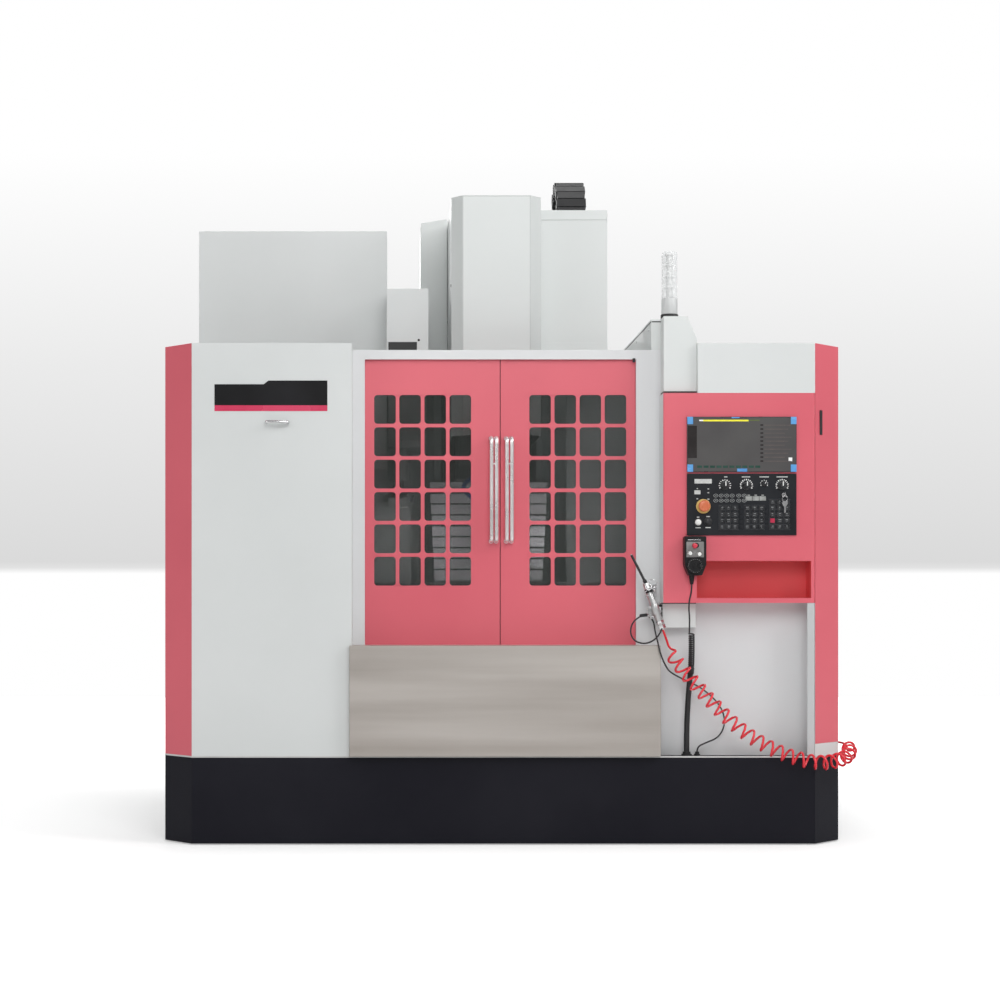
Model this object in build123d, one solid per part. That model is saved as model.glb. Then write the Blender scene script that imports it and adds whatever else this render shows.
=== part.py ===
"""Vertical machining centre of the 850 x 500 class, in millimetres, +Z up, front towards -Y.

The origin is on the floor, at the middle of the footprint. Depths are counted from the front
plane of the enclosure, which the front panels, the control box and the base skirt share.
"""

import os
from math import cos, pi, radians, sin, tan

from build123d import *

os.makedirs("parts", exist_ok=True)

# Overall sizes
overall_width = 2600.0
overall_depth = 2300.0
enclosure_top = 1908.0
enclosure_depth = 1700.0
base_height = 333.0
corner_cut = 115.0
pendant_reach = 75.0
sheet = 3.0
seat_gap = 0.3
rail_gap = 0.2
shaft_gap = 0.05

# Front face
wall_depth = 95.0
left_panel_right = -576.0
control_left = 608.0
control_bottom = 920.0
control_top = 1718.0
door_centre = -6.0
opening_width = 1045.0
opening_bottom = 758.0
opening_height = 1100.0
header_top = 1894.0

# Doors
door_depth = 112.0
door_thick = 38.0
door_overlap = 20.0
door_seam = 1.0
pane_width = 83.0
pane_height = 111.0
pane_bar = 14.0
pane_columns = 4
pane_rows = 6
pane_corner = 13.0
grid_offset = 299.6
grid_bottom = 986.3
glass_thick = 6.0
grip_rod = 11.0
grip_length = 414.0
grip_bottom = 1149.0
grip_offset = 27.0
grip_spread = 19.0
grip_stand = 40.0

# Axes of the machine: the spindle stands over the middle of the table
spindle_depth = 670.0
column_depth = 1240.0
table_top = 1000.0
nose_height = 1390.0
travel_x = 400.0
travel_y = 250.0
travel_z_up = 250.0
travel_z_down = 270.0

# Table
table_length = 1000.0
table_width = 500.0
table_thick = 80.0
slot_count = 5
slot_pitch = 90.0
slot_width = 18.0
slot_neck = 16.0
slot_foot_width = 30.0
slot_foot = 14.0

# Guides and screws
y_rail_pitch = 500.0
y_rail_width = 35.0
y_rail_height = 40.0
x_rail_pitch = 280.0
x_rail_width = 30.0
x_rail_height = 35.0
z_rail_pitch = 340.0
z_rail_width = 35.0
z_rail_height = 40.0
screw_radius = 20.0
journal_radius = 14.0
x_screw_radius = 16.0
x_journal_radius = 12.0

# Bed, saddle and column
foot_height = 45.0
bed_top = 640.0
bed_front = 180.0
bed_back = 1690.0
saddle_bottom = 700.0
saddle_top = 860.0
saddle_length = 1200.0
saddle_width = 400.0
column_half = 297.0
cover_front = 1205.0
cover_chamfer = 85.0

# Head
head_half = 150.0
head_back = 1190.0
head_foot = nose_height + 60.0
head_top = nose_height + 510.0
column_top = head_top + 380.0
spindle_radius = 45.0
head_cover_half = 183.0
head_cover_front = 490.0
head_cover_back = 1130.0
head_cover_chamfer = 45.0
head_cover_bottom = nose_height + 210.0
head_cover_top = column_top + 296.0

# Tool changer: the arm reaches from the spindle to the pot that hangs below the disc
arm_reach = 400.0
arm_top = nose_height - 25.0
arm_thick = 30.0
pot_count = 24
pot_circle = 305.0
pot_radius = 33.0
disc_height = arm_top + 485.0
cover_bottom = disc_height + 58.0

# Control box
screen_left = 697.0
screen_width = 416.0
screen_bottom = 1417.0
screen_height = 210.0
keypad_bottom = 1177.0
keypad_height = 234.0
tray_left = 735.0
tray_right = 1170.0
tray_bottom = 938.0
tray_top = 1080.0
tray_depth = 80.0

# Where the main planes lie
front = pendant_reach - overall_depth / 2
rear = overall_depth / 2
half = overall_width / 2
panel_edge = half - corner_cut
side_face = half - 35.0
back_face = front + enclosure_depth
wall_face = front + wall_depth
door_face = front + door_depth
spindle_y = front + spindle_depth
column_face = front + column_depth
opening_left = door_centre - opening_width / 2
opening_right = door_centre + opening_width / 2
opening_top = opening_bottom + opening_height
door_top = opening_top + 4.0
door_bottom = opening_bottom - 8.0
table_bottom = table_top - table_thick


def block(x0, x1, y0, y1, z0, z1):
    """A block between two corners."""
    return Pos((x0 + x1) / 2, (y0 + y1) / 2, (z0 + z1) / 2) * Box(x1 - x0, y1 - y0, z1 - z0)


def plan(points, z0, z1):
    """A prism over an outline drawn from above."""
    outline = Plane.XY.offset(z0) * make_face(Polyline(*points, close=True).edges())
    return extrude(outline, z1 - z0, dir=(0, 0, 1))


def side(points, x0, x1):
    """A prism over an outline of (y, z) points, drawn from the side."""
    edges = Polyline(*[(x0, y, z) for y, z in points], close=True).edges()
    return extrude(make_face(edges), x1 - x0, dir=(1, 0, 0))


def face_on(points, y0, y1):
    """A prism over an outline of (x, z) points, drawn from the front."""
    edges = Polyline(*[(x, y0, z) for x, z in points], close=True).edges()
    return extrude(make_face(edges), y1 - y0, dir=(0, 1, 0))


def rod(start, end, radius):
    """A round bar between two points."""
    line = Vector(*end) - Vector(*start)
    return extrude(Plane(origin=start, z_dir=line) * Circle(radius), line.length)


def turned(points, x, y):
    """A body of revolution about a vertical axis, from (radius, z) points."""
    edges = Polyline(*[(r, 0, z) for r, z in points], close=True).edges()
    return Pos(x, y, 0) * revolve(make_face(edges), Axis.Z)


def tray(x0, x1, y0, y1, z0, z1, wall=sheet):
    """A folded sheet panel, open at the back."""
    hollow = block(x0 + wall, x1 - wall, y0 + wall, y1 + 1, z0 + wall, z1 - wall)
    return block(x0, x1, y0, y1, z0, z1) - hollow


def mirrored(shape):
    """The same shape on the other side of the machine."""
    return shape.mirror(Plane.YZ)


def bent_path(points):
    """A route of straight runs with the largest arcs that its runs allow, and the arcs' radii."""
    spots = [Vector(*p) for p in points]
    radii = []
    for before, corner, after in zip(spots, spots[1:], spots[2:]):
        turn = radians((corner - before).get_angle(after - corner))
        shorter = min((corner - before).length, (after - corner).length)
        radii.append(0.45 * shorter / tan(turn / 2))
    return FilletPolyline(*spots, radius=radii), radii


def cord(name, points, diameter):
    """A round cord along a route, with its bend radii and length printed."""
    path, radii = bent_path(points)
    start = Plane(origin=path @ 0, z_dir=path % 0)
    body = sweep(start * Circle(diameter / 2), path)
    expected = path.length * pi * diameter**2 / 4
    print(
        name,
        "length",
        round(path.length),
        "tightest radius",
        round(min(radii)),
        "volume share",
        round(body.volume / expected, 4),
    )
    return body


def write(name, *shapes):
    """One STEP file for one node, with each of its solids."""
    solids = [s for shape in shapes for s in shape.solids()]
    export_step(Compound(children=solids), f"parts/{name}.step")


# Base: a skirt round the bed with a catch deck on top, and the coolant tank behind it


def skirt_outline(inset):
    """The base's outline from above, moved inwards."""
    slant = inset * tan(radians(22.5))
    return [
        (-half + inset, back_face - inset),
        (-half + inset, front + corner_cut + slant),
        (-panel_edge + slant, front + inset),
        (panel_edge - slant, front + inset),
        (half - inset, front + corner_cut + slant),
        (half - inset, back_face - inset),
    ]


floor_gap = 5.0
skirt_wall = 4.0
bed_half = 450.0
bed_shoulder = 430.0
pad_inner = 110.0
pad_outer = 360.0
pad_foot = 560.0
trough_floor = 500.0

skirt = plan(skirt_outline(0), floor_gap, base_height)
skirt -= plan(skirt_outline(skirt_wall), floor_gap - 1, base_height - skirt_wall)
skirt -= block(
    -bed_half, bed_half, front + bed_front, front + bed_back, base_height - 2 * skirt_wall, base_height + 1
)

tank_left = -1150.0
tank_right = -350.0
tank_back = rear - 75.0
tank_top = 330.0
tank = block(tank_left, tank_right, back_face, tank_back, floor_gap, tank_top)
tank -= block(
    tank_left + skirt_wall,
    tank_right - skirt_wall,
    back_face + skirt_wall,
    tank_back - skirt_wall,
    floor_gap + skirt_wall,
    tank_top - skirt_wall,
)
write("base_skirt", skirt + tank)

pump_x = -800.0
pump_y = (back_face + tank_back) / 2
pump_flange = 75.0
pump_body = 55.0
pump_height = 270.0
write(
    "coolant_pump",
    turned(
        [
            (0, tank_top),
            (pump_flange, tank_top),
            (pump_flange, tank_top + 14),
            (pump_body, tank_top + 14),
            (pump_body, tank_top + pump_height - 60),
            (pump_body + 6, tank_top + pump_height - 60),
            (pump_body + 6, tank_top + pump_height),
            (0, tank_top + pump_height),
        ],
        pump_x,
        pump_y,
    ),
)

# Bed on its levelling feet

foot_x = 380.0
foot_rows = [260.0, 920.0, 1600.0]
feet = []
for row in foot_rows:
    for foot_side in (-1, 1):
        feet.append(
            turned(
                [(0, 0), (50, 0), (50, 12), (24, 18), (14, 18), (14, foot_height), (0, foot_height)],
                foot_side * foot_x,
                front + row,
            )
        )
write("levelling_feet", *feet)

bearing_half = 45.0
y_screw_z = 575.0
y_screw_front = spindle_depth - saddle_width / 2 - travel_y + 20.0
y_screw_back = 1140.0
bearing_thick = 30.0
bearing_step = 2.0

bed_profile = [
    (-bed_half, foot_height),
    (-bed_half, bed_shoulder),
    (-pad_outer, pad_foot),
    (-pad_outer, bed_top),
    (-pad_inner, bed_top),
    (-pad_inner, trough_floor),
    (pad_inner, trough_floor),
    (pad_inner, bed_top),
    (pad_outer, bed_top),
    (pad_outer, pad_foot),
    (bed_half, bed_shoulder),
    (bed_half, foot_height),
]
bed = face_on(bed_profile, front + bed_front, front + bed_back)
rib = 60.0
for bed_side in (-1, 1):
    near, far = sorted((bed_side * rib / 2, bed_side * (foot_x - 90)))
    bed -= block(
        near, far, front + bed_front + rib, front + bed_back - rib, foot_height - 1, trough_floor - rib
    )
y_bearings = [y_screw_front - bearing_step - bearing_thick, y_screw_back + bearing_step]
for bearing in y_bearings:
    bed += block(
        -bearing_half,
        bearing_half,
        front + bearing,
        front + bearing + bearing_thick,
        trough_floor,
        y_screw_z + bearing_half,
    )
bed -= rod(
    (0, front + y_bearings[0] - 1, y_screw_z),
    (0, front + y_bearings[1] + bearing_thick + 1, y_screw_z),
    journal_radius + shaft_gap,
)
write("bed_casting", bed)

# Column with pockets between its ribs, a trough for the Z screw and a bracket for its motor

column_trough = 60.0
way_margin = 52.0
z_bearing_low = head_foot - travel_z_down - way_margin
z_rail_top = head_top + travel_z_up + 110.0
z_bearing_high = z_rail_top - 20.0
z_screw_depth = 1220.0
z_screw_y = front + z_screw_depth
z_cover_bottom = 1015.0
z_cover_half = 240.0
z_cover_step = 2.5
z_cover_deep = 1186.0
bracket_thick = 20.0
motor_half = 65.0

column = block(-column_half, column_half, column_face, front + bed_back, bed_top, column_top)
column_chamfer = cover_front + cover_chamfer - column_depth + 2
column = chamfer(column.edges().filter_by(Axis.Z).group_by(Axis.Y)[0], column_chamfer)
column_pockets = 3
column_rib = 50.0
pocket_pitch = (column_top - bed_top - column_rib) / column_pockets
for n in range(column_pockets):
    pocket_z = bed_top + column_rib + n * pocket_pitch
    column -= block(
        -column_half + 45,
        column_half - 45,
        column_face + 110,
        front + bed_back + 1,
        pocket_z,
        pocket_z + pocket_pitch - column_rib,
    )
column -= block(
    -pad_inner, pad_inner, column_face - 1, column_face + column_trough, z_bearing_low - 30, column_top + 1
)
for bearing in (z_bearing_low, z_bearing_high):
    column += block(
        -bearing_half,
        bearing_half,
        front + head_back + 5,
        column_face + column_trough,
        bearing,
        bearing + bearing_thick,
    )
bracket_half = pad_inner + 20
column += block(
    -bracket_half,
    bracket_half,
    z_screw_y - motor_half,
    column_face + 160,
    column_top,
    column_top + bracket_thick,
)
column -= rod((0, z_screw_y, z_bearing_low - 1), (0, z_screw_y, column_top + 30), journal_radius + shaft_gap)
column += block(
    -z_cover_half, z_cover_half, front + z_cover_deep, column_face, z_cover_bottom - 10, z_cover_bottom
)
write("column", column)

# Linear rails of the Y and Z ways

rails = []
for way_side in (-1, 1):
    y_rail_x = way_side * y_rail_pitch / 2
    rails.append(
        block(
            y_rail_x - y_rail_width / 2,
            y_rail_x + y_rail_width / 2,
            front + bed_front + 20,
            front + head_back - 10,
            bed_top,
            bed_top + y_rail_height,
        )
    )
    z_rail_x = way_side * z_rail_pitch / 2
    rails.append(
        block(
            z_rail_x - z_rail_width / 2,
            z_rail_x + z_rail_width / 2,
            column_face - z_rail_height,
            column_face,
            z_bearing_low,
            z_rail_top,
        )
    )
write("way_rails", *rails)

# Front wall with the door opening, its folded edge and the two door tracks

fold = 10.0
track_reach = 1060.0
track_deep = 50.0
track_height = 14.0
wall = block(-panel_edge, panel_edge, wall_face, wall_face + sheet, base_height, header_top)
wall += block(
    opening_left - sheet,
    opening_right + sheet,
    wall_face,
    wall_face + sheet + fold,
    opening_bottom - sheet,
    opening_top + sheet,
)
wall -= block(opening_left, opening_right, wall_face - 1, wall_face + 20, opening_bottom, opening_top)
track_top = door_bottom - seat_gap
guide_bottom = door_top + seat_gap
track_back = wall_face + sheet + track_deep
wall += block(-track_reach, track_reach, wall_face, track_back, track_top - track_height, track_top)
wall += block(-track_reach, track_reach, wall_face, track_back, guide_bottom, guide_bottom + track_height)
write("door_frame", wall)

# Doors: a folded panel with a grid of rounded panes, the glass behind it and a bowed double grip

pane_pitch_x = pane_width + pane_bar
pane_pitch_z = pane_height + pane_bar
grid_middle = grid_bottom + (pane_rows * pane_pitch_z - pane_bar) / 2
door_back = door_face + door_thick
glass_margin = 22.0
grip_foot = 20.0
grip_low = grip_bottom + grip_foot
grip_high = grip_bottom + grip_length - grip_foot
grip_rise = 24.0
grip_bend = 14.0
grip_bow = 60.0


def door(door_side):
    """One door's panel, glass and grip."""
    outer = door_centre + door_side * (opening_width / 2 + door_overlap)
    inner = door_centre + door_side * door_seam
    x0, x1 = sorted((outer, inner))
    panel = tray(x0, x1, door_face, door_back, door_bottom, door_top, sheet)
    middle = door_centre + door_side * grid_offset
    panes = Sketch() + [
        Pos((c - (pane_columns - 1) / 2) * pane_pitch_x, (r - (pane_rows - 1) / 2) * pane_pitch_z)
        * RectangleRounded(pane_width, pane_height, pane_corner)
        for c in range(pane_columns)
        for r in range(pane_rows)
    ]
    pane_plane = Plane(origin=(middle, door_face - 1, grid_middle), x_dir=(1, 0, 0), z_dir=(0, -1, 0))
    panel -= extrude(pane_plane * panes, -(sheet + 2))
    glass_x = (pane_columns * pane_pitch_x - pane_bar) / 2 + glass_margin
    glass_z = (pane_rows * pane_pitch_z - pane_bar) / 2 + glass_margin
    glass = block(
        middle - glass_x,
        middle + glass_x,
        door_face + sheet,
        door_face + sheet + glass_thick,
        grid_middle - glass_z,
        grid_middle + glass_z,
    )
    grip_x = door_centre + door_side * grip_offset
    bars = []
    for bar_side in (-1, 1):
        x = grip_x + bar_side * grip_spread / 2
        ends = [
            (x, door_face, grip_low),
            (x, door_face - grip_rise, grip_low),
            (x, door_face - grip_stand, grip_bottom + grip_length * 0.3),
            (x, door_face - grip_stand, grip_bottom + grip_length * 0.7),
            (x, door_face - grip_rise, grip_high),
            (x, door_face, grip_high),
        ]
        path = FilletPolyline(*ends, radius=[grip_bend, grip_bow, grip_bow, grip_bend])
        bars.append(sweep(Plane(origin=path @ 0, z_dir=path % 0) * Circle(grip_rod / 2), path))
    link_z = grip_bottom + grip_length * 0.78
    link = rod(
        (grip_x - grip_spread / 2, door_face - grip_stand + 5, link_z),
        (grip_x + grip_spread / 2, door_face - grip_stand + 5, link_z),
        grip_rod / 3,
    )
    return panel, glass, bars[0] + bars[1] + link


for door_name, door_side in (("left", -1), ("right", 1)):
    panel, glass, grip = door(door_side)
    write(f"{door_name}_door", panel)
    write(f"{door_name}_window", glass)
    write(f"{door_name}_handle", grip)

# Front panels: left panel, upper right box, lower right corner and the block under the control box

duct_left = 612.0
duct_right = 738.0
lower_block_bottom = 825.0
foot_strip_top = 384.0
strip_return = 35.0


def corner_strip(z0, z1):
    """A folded strip over the left corner: the chamfer, a side return and a return to the side panel."""
    slope = sheet * tan(radians(22.5))
    end = front + corner_cut + strip_return
    return plan(
        [
            (-panel_edge, front),
            (-half, front + corner_cut),
            (-half, end),
            (-side_face, end),
            (-side_face, end - sheet),
            (-half + sheet, end - sheet),
            (-half + sheet, front + corner_cut + slope),
            (-panel_edge, front + sheet / cos(radians(45))),
        ],
        z0,
        z1,
    )


left_panel = tray(-panel_edge, left_panel_right, front, wall_face, base_height, enclosure_top)
upper_box = tray(duct_right, panel_edge, front, wall_face, control_top, enclosure_top)
lower_return = block(panel_edge - sheet, panel_edge, front, wall_face, base_height, control_bottom)
lower_block = block(duct_left, duct_right + 1, front + 48, wall_face, lower_block_bottom, control_bottom)
corner_foot = mirrored(corner_strip(base_height, foot_strip_top))
write("front_panels", left_panel, upper_box, lower_return + corner_foot, lower_block)
write(
    "corner_covers",
    corner_strip(base_height, enclosure_top),
    mirrored(corner_strip(foot_strip_top, enclosure_top)),
)

# Side panels with louvres, and rear panels beside the column

louvre_rows = 8
louvre_pitch = 34.0
louvre_length = 320.0
louvre_margin = 100.0
louvre_y = back_face - louvre_length - louvre_margin
side_start = front + corner_cut + strip_return
sides = block(-side_face, -side_face + sheet, side_start, back_face, base_height, enclosure_top)
for z_end in (base_height, enclosure_top - sheet):
    sides += block(-side_face, -side_face + 20, side_start, back_face - sheet, z_end, z_end + sheet)
for n in range(louvre_rows):
    louvre_z = enclosure_top - 180 - n * louvre_pitch
    louvre = [(-side_face, louvre_z), (-side_face - 8, louvre_z), (-side_face, louvre_z + 16)]
    sides += face_on(louvre, louvre_y, louvre_y + louvre_length)
rear_sheet = block(
    -side_face + sheet, -column_half - seat_gap, back_face - sheet, back_face, base_height, header_top
)
write("side_and_rear_panels", sides, mirrored(sides), rear_sheet, mirrored(rear_sheet))

# Stainless apron below the doors

apron_left = -585.0
apron_right = 595.0
apron_bottom = base_height + 5
apron_proud = 30.0
apron = block(apron_left, apron_right, front - apron_proud, front, apron_bottom, opening_bottom)
apron -= block(
    apron_left + 2, apron_right - 2, front - apron_proud + 2, front + 1, apron_bottom - 1, opening_bottom - 2
)
apron += block(
    left_panel_right, apron_right, front, wall_face, opening_bottom - 2, opening_bottom
)
write("front_apron", apron)

# Liner of the work space: side walls and the back wall beside the column

liner_half = 1010.0
liner_front = 170.0
liner_back = 1180.0
liner_top = 1890.0
magazine_front = 745.0
magazine_bottom = disc_height - 370.0
back_gap = 345.0
left_liner = side(
    [
        (front + liner_front, base_height),
        (front + liner_back, base_height),
        (front + liner_back, magazine_bottom - 10),
        (front + magazine_front - 10, magazine_bottom - 10),
        (front + magazine_front - 10, liner_top),
        (front + liner_front, liner_top),
    ],
    -liner_half,
    -liner_half + sheet,
)
left_liner += block(
    -liner_half, -back_gap, front + liner_back - sheet, front + liner_back, base_height, liner_top
)
bed_notch = block(
    -bed_half - seat_gap,
    bed_half + seat_gap,
    front + liner_back - 2 * sheet,
    front + liner_back + 1,
    base_height - 1,
    bed_top,
)
left_liner -= bed_notch
right_liner = block(
    liner_half - sheet, liner_half, front + liner_front, front + liner_back, base_height, liner_top
)
right_liner += block(
    back_gap, liner_half, front + liner_back - sheet, front + liner_back, base_height, liner_top
)
right_liner -= bed_notch
write("cabin_walls", left_liner, right_liner)

# Control box with its tray and the bores of the three push buttons

stem_radius = 6.0
stem_reach = 6.0
bore_reach = 12.0
e_stop_spot = (759.0, 1287.0)
start_spot = (738.7, 1226.0)
hold_spot = (777.0, 1229.0)
button_bores = [
    rod((x, front - 50, z), (x, front + bore_reach, z), stem_radius + shaft_gap)
    for x, z in (e_stop_spot, start_spot, hold_spot)
]
box_body = block(control_left, panel_edge, front, wall_face, control_bottom, control_top)
box_body = fillet(box_body.edges().filter_by(Axis.Z).group_by(Axis.Y)[0], 5)
box_hollow = block(
    control_left + sheet,
    panel_edge - sheet,
    front + sheet,
    wall_face + 1,
    control_bottom + sheet,
    control_top - sheet,
)
box_hollow -= block(
    tray_left - sheet,
    tray_right + sheet,
    front,
    front + tray_depth + sheet,
    tray_bottom - sheet,
    tray_top + sheet,
)
box_body -= box_hollow
box_body -= block(tray_left, tray_right, front - 1, front + tray_depth, tray_bottom, tray_top)
for bore in button_bores:
    box_body -= bore
write("control_box", box_body)

bezel = 8.0
screen_inset = 14.0
screen_right = screen_left + screen_width
display = block(
    screen_left, screen_right, front - bezel, front, screen_bottom, screen_bottom + screen_height
)
display -= block(
    screen_left + screen_inset,
    screen_right - screen_inset,
    front - bezel - 1,
    front - bezel + 3,
    screen_bottom + screen_inset,
    screen_bottom + screen_height - screen_inset,
)
write("display_unit", display)

plate = 6.0
plate_face = front - plate
key_size = 13.0
key_pitch_x = 17.5
key_pitch_z = 19.0
key_proud = 3.0
keypad = block(
    screen_left, screen_right, plate_face, front, keypad_bottom, keypad_bottom + keypad_height
)
key_columns = 5
key_rows = 5
field_z = 1202.0
for field_x, rows in ((828.0, key_rows), (920.0, key_rows), (1013.0, key_rows + 1)):
    for c in range(key_columns):
        for r in range(rows):
            x = field_x + c * key_pitch_x
            z = field_z + r * key_pitch_z
            keypad += block(x, x + key_size, plate_face - key_proud, plate_face, z, z + key_size)
for bore in button_bores:
    keypad -= bore
write("keypad_panel", keypad)


def push_button(spot, travel, body_radius, body_proud, cap_radius, proud):
    """A round button: a stem in its bore, a body that stands off by its travel, and the cap."""
    x, z = spot
    stand = plate_face - travel - seat_gap
    button = rod((x, front + stem_reach, z), (x, stand, z), stem_radius)
    button += rod((x, stand, z), (x, plate_face - body_proud, z), body_radius)
    return button + rod((x, plate_face - body_proud, z), (x, plate_face - proud, z), cap_radius)


knob_skirt = 6.0
knob_proud = 20.0


def rotary_knob(x, z, radius):
    """A rotary switch: a skirt, a grip and a raised pointer."""
    skirt_face = plate_face - knob_skirt
    knob = rod((x, plate_face - seat_gap, z), (x, skirt_face, z), radius)
    knob += rod((x, skirt_face, z), (x, plate_face - knob_proud, z), radius * 0.7)
    knob += block(x - 2, x + 2, plate_face - knob_proud - 2, skirt_face, z - 2, z + radius * 0.9)
    return knob


button_travel = 2.0
e_stop_travel = 4.0
write("e_stop", push_button(e_stop_spot, e_stop_travel, 14.0, 19.0, 22.0, 34.0))
write("start_button", push_button(start_spot, button_travel, 12.0, 7.0, 10.0, 12.0))
write("hold_button", push_button(hold_spot, button_travel, 12.0, 7.0, 10.0, 12.0))
knob_z = 1366.0
knob_radius = 17.0
for knob_name, knob_x in (("mode_knob", 841.0), ("rapid_knob", 922.6), ("feed_knob", 1058.3)):
    write(knob_name, rotary_knob(knob_x, knob_z, knob_radius))
key_x = 1064.0
key_z = 1330.0
key_switch = rod((key_x, plate_face - seat_gap, key_z), (key_x, plate_face - 8, key_z), 8)
key_switch += block(key_x - 1, key_x + 1, plate_face - 30, plate_face - 8, key_z - 9, key_z + 9)
write("key_switch", key_switch)

# Cable duct: a riser beside the control box and a long run back over the right wall

run_left = 575.0
duct_top = 2013.0
duct_front = front + 20.0
shoulder_x = 702.0
shoulder_z = 1930.0


def riser_profile(inset):
    """The riser's outline from the front, moved inwards."""
    slant = inset * tan(radians(22.5))
    return [
        (duct_left + inset, control_top),
        (duct_left + inset, duct_top - inset),
        (shoulder_x - slant, duct_top - inset),
        (duct_right - inset, shoulder_z - slant),
        (duct_right - inset, control_top),
    ]


def run_profile(inset):
    """The run's outline from the front, moved inwards."""
    slant = inset * tan(radians(22.5))
    return [
        (run_left + inset, header_top + inset),
        (run_left + inset, duct_top - inset),
        (shoulder_x - slant, duct_top - inset),
        (duct_right - inset, shoulder_z - slant),
        (duct_right - inset, header_top + inset),
    ]


duct = face_on(riser_profile(0), duct_front, wall_face)
duct += face_on(run_profile(0), wall_face, back_face)
duct -= face_on(riser_profile(sheet), duct_front + sheet, wall_face + sheet)
duct -= face_on(run_profile(sheet), wall_face + sheet, back_face + 1)
write("cable_duct", duct)

tower_x = 650.0
tower_y = front + 130.0
tower_radius = 31.0
tower_base = 65.0
tower_height = 265.0
write(
    "signal_tower",
    turned(
        [
            (0, duct_top),
            (tower_radius, duct_top),
            (tower_radius, duct_top + tower_base),
            (tower_radius - 3, duct_top + tower_base + 2),
            (tower_radius - 3, duct_top + tower_height - 8),
            (tower_radius - 9, duct_top + tower_height),
            (0, duct_top + tower_height),
        ],
        tower_x,
        tower_y,
    ),
)

# Magazine cover and changer cover, open below and behind

magazine_left = -half + 62.0
magazine_right = -448.0
magazine_top = disc_height + 630.0
magazine_back = 1000.0
changer_right = -276.0
changer_top = arm_top + 843.0
changer_front = 560.0
changer_bottom = disc_height + 50.0
magazine_box = block(
    magazine_left,
    magazine_right,
    front + magazine_front,
    front + magazine_back,
    magazine_bottom,
    magazine_top,
)
magazine_box -= block(
    magazine_left + sheet,
    magazine_right - sheet,
    front + magazine_front + sheet,
    front + magazine_back + 1,
    magazine_bottom - 1,
    magazine_top - sheet,
)
changer_box = block(
    magazine_right, changer_right, front + changer_front, front + magazine_back, changer_bottom, changer_top
)
changer_box -= block(
    magazine_right + sheet,
    changer_right - sheet,
    front + changer_front + sheet,
    front + magazine_back + 1,
    changer_bottom - 1,
    changer_top - sheet,
)
write("magazine_cover", magazine_box, changer_box)

# Changer gearbox, its bracket on the column's side and the plate that carries the magazine

gearbox_left = magazine_right + sheet + 3
gearbox_right = changer_right - sheet - 3
gearbox_bottom = arm_top + 195.0
gearbox_top = changer_top - 28.0
plate_thick = 25.0
pin_radius = 25.0
disc_x = -2 * arm_reach
disc_front = 940.0
gearbox = block(
    gearbox_left,
    gearbox_right,
    front + changer_front + 20,
    front + magazine_back,
    gearbox_bottom,
    gearbox_top,
)
gearbox = chamfer(gearbox.edges().filter_by(Axis.X).group_by(Axis.Y)[0], 25)
gearbox += rod((-arm_reach, spindle_y, arm_top + 60), (-arm_reach, spindle_y, gearbox_bottom), 42)
carrier = block(
    disc_x - 180,
    -column_half - 3,
    front + magazine_back,
    front + magazine_back + plate_thick,
    disc_height - 140,
    disc_height + 140,
)
bracket_grip = 200.0
bracket = block(
    -column_half - 43,
    -column_half,
    front + magazine_back,
    column_face + bracket_grip,
    disc_height - 190,
    cover_bottom - 16,
)
carrier_pin = rod(
    (disc_x, front + disc_front - 5, disc_height), (disc_x, front + magazine_back, disc_height), pin_radius
)
gearbox -= rod(
    (-arm_reach, spindle_y, arm_top + 59), (-arm_reach, spindle_y, gearbox_bottom + 120), 24 + shaft_gap
)
write("changer_gearbox", gearbox + carrier + bracket + carrier_pin)

disc_plate = 20.0
disc_hub = 70.0


def disc_rod(start, end, radius, x=disc_x, z=disc_height):
    """A bar along the disc's axis direction, between two depths."""
    return rod((x, front + start, z), (x, front + end, z), radius)


disc = disc_rod(disc_front, disc_front + disc_plate, pot_circle + 40)
disc += disc_rod(disc_front, magazine_back - seat_gap, disc_hub)
disc -= disc_rod(disc_front - 10, magazine_back + 1, pin_radius + shaft_gap)
pot_length = 100.0
for n in range(pot_count):
    angle = 2 * pi * n / pot_count
    x = disc_x + pot_circle * sin(angle)
    z = disc_height + pot_circle * cos(angle)
    disc += disc_rod(disc_front - pot_length, disc_front, pot_radius, x, z)
write("magazine_disc", disc)

arm = block(-arm_reach - 40, -arm_reach + 40, spindle_y - 350, spindle_y + 350, arm_top - arm_thick, arm_top)
arm += rod((-arm_reach, spindle_y, arm_top - arm_thick), (-arm_reach, spindle_y, arm_top), 70)
for arm_end in (-1, 1):
    y = spindle_y + arm_end * arm_reach
    arm += rod((-arm_reach, y, arm_top - arm_thick), (-arm_reach, y, arm_top), 52)
    arm -= rod((-arm_reach, y, arm_top - arm_thick - 1), (-arm_reach, y, arm_top + 1), 32)
    near, far = sorted((-arm_reach, -arm_reach + arm_end * 60))
    arm -= block(near, far, y - 32, y + 32, arm_top - arm_thick - 1, arm_top + 1)
arm += rod((-arm_reach, spindle_y, arm_top), (-arm_reach, spindle_y, gearbox_bottom + 100), 24)
write("changer_arm", arm)

# Electrical cabinet behind the right side, with a hinged door

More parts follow.
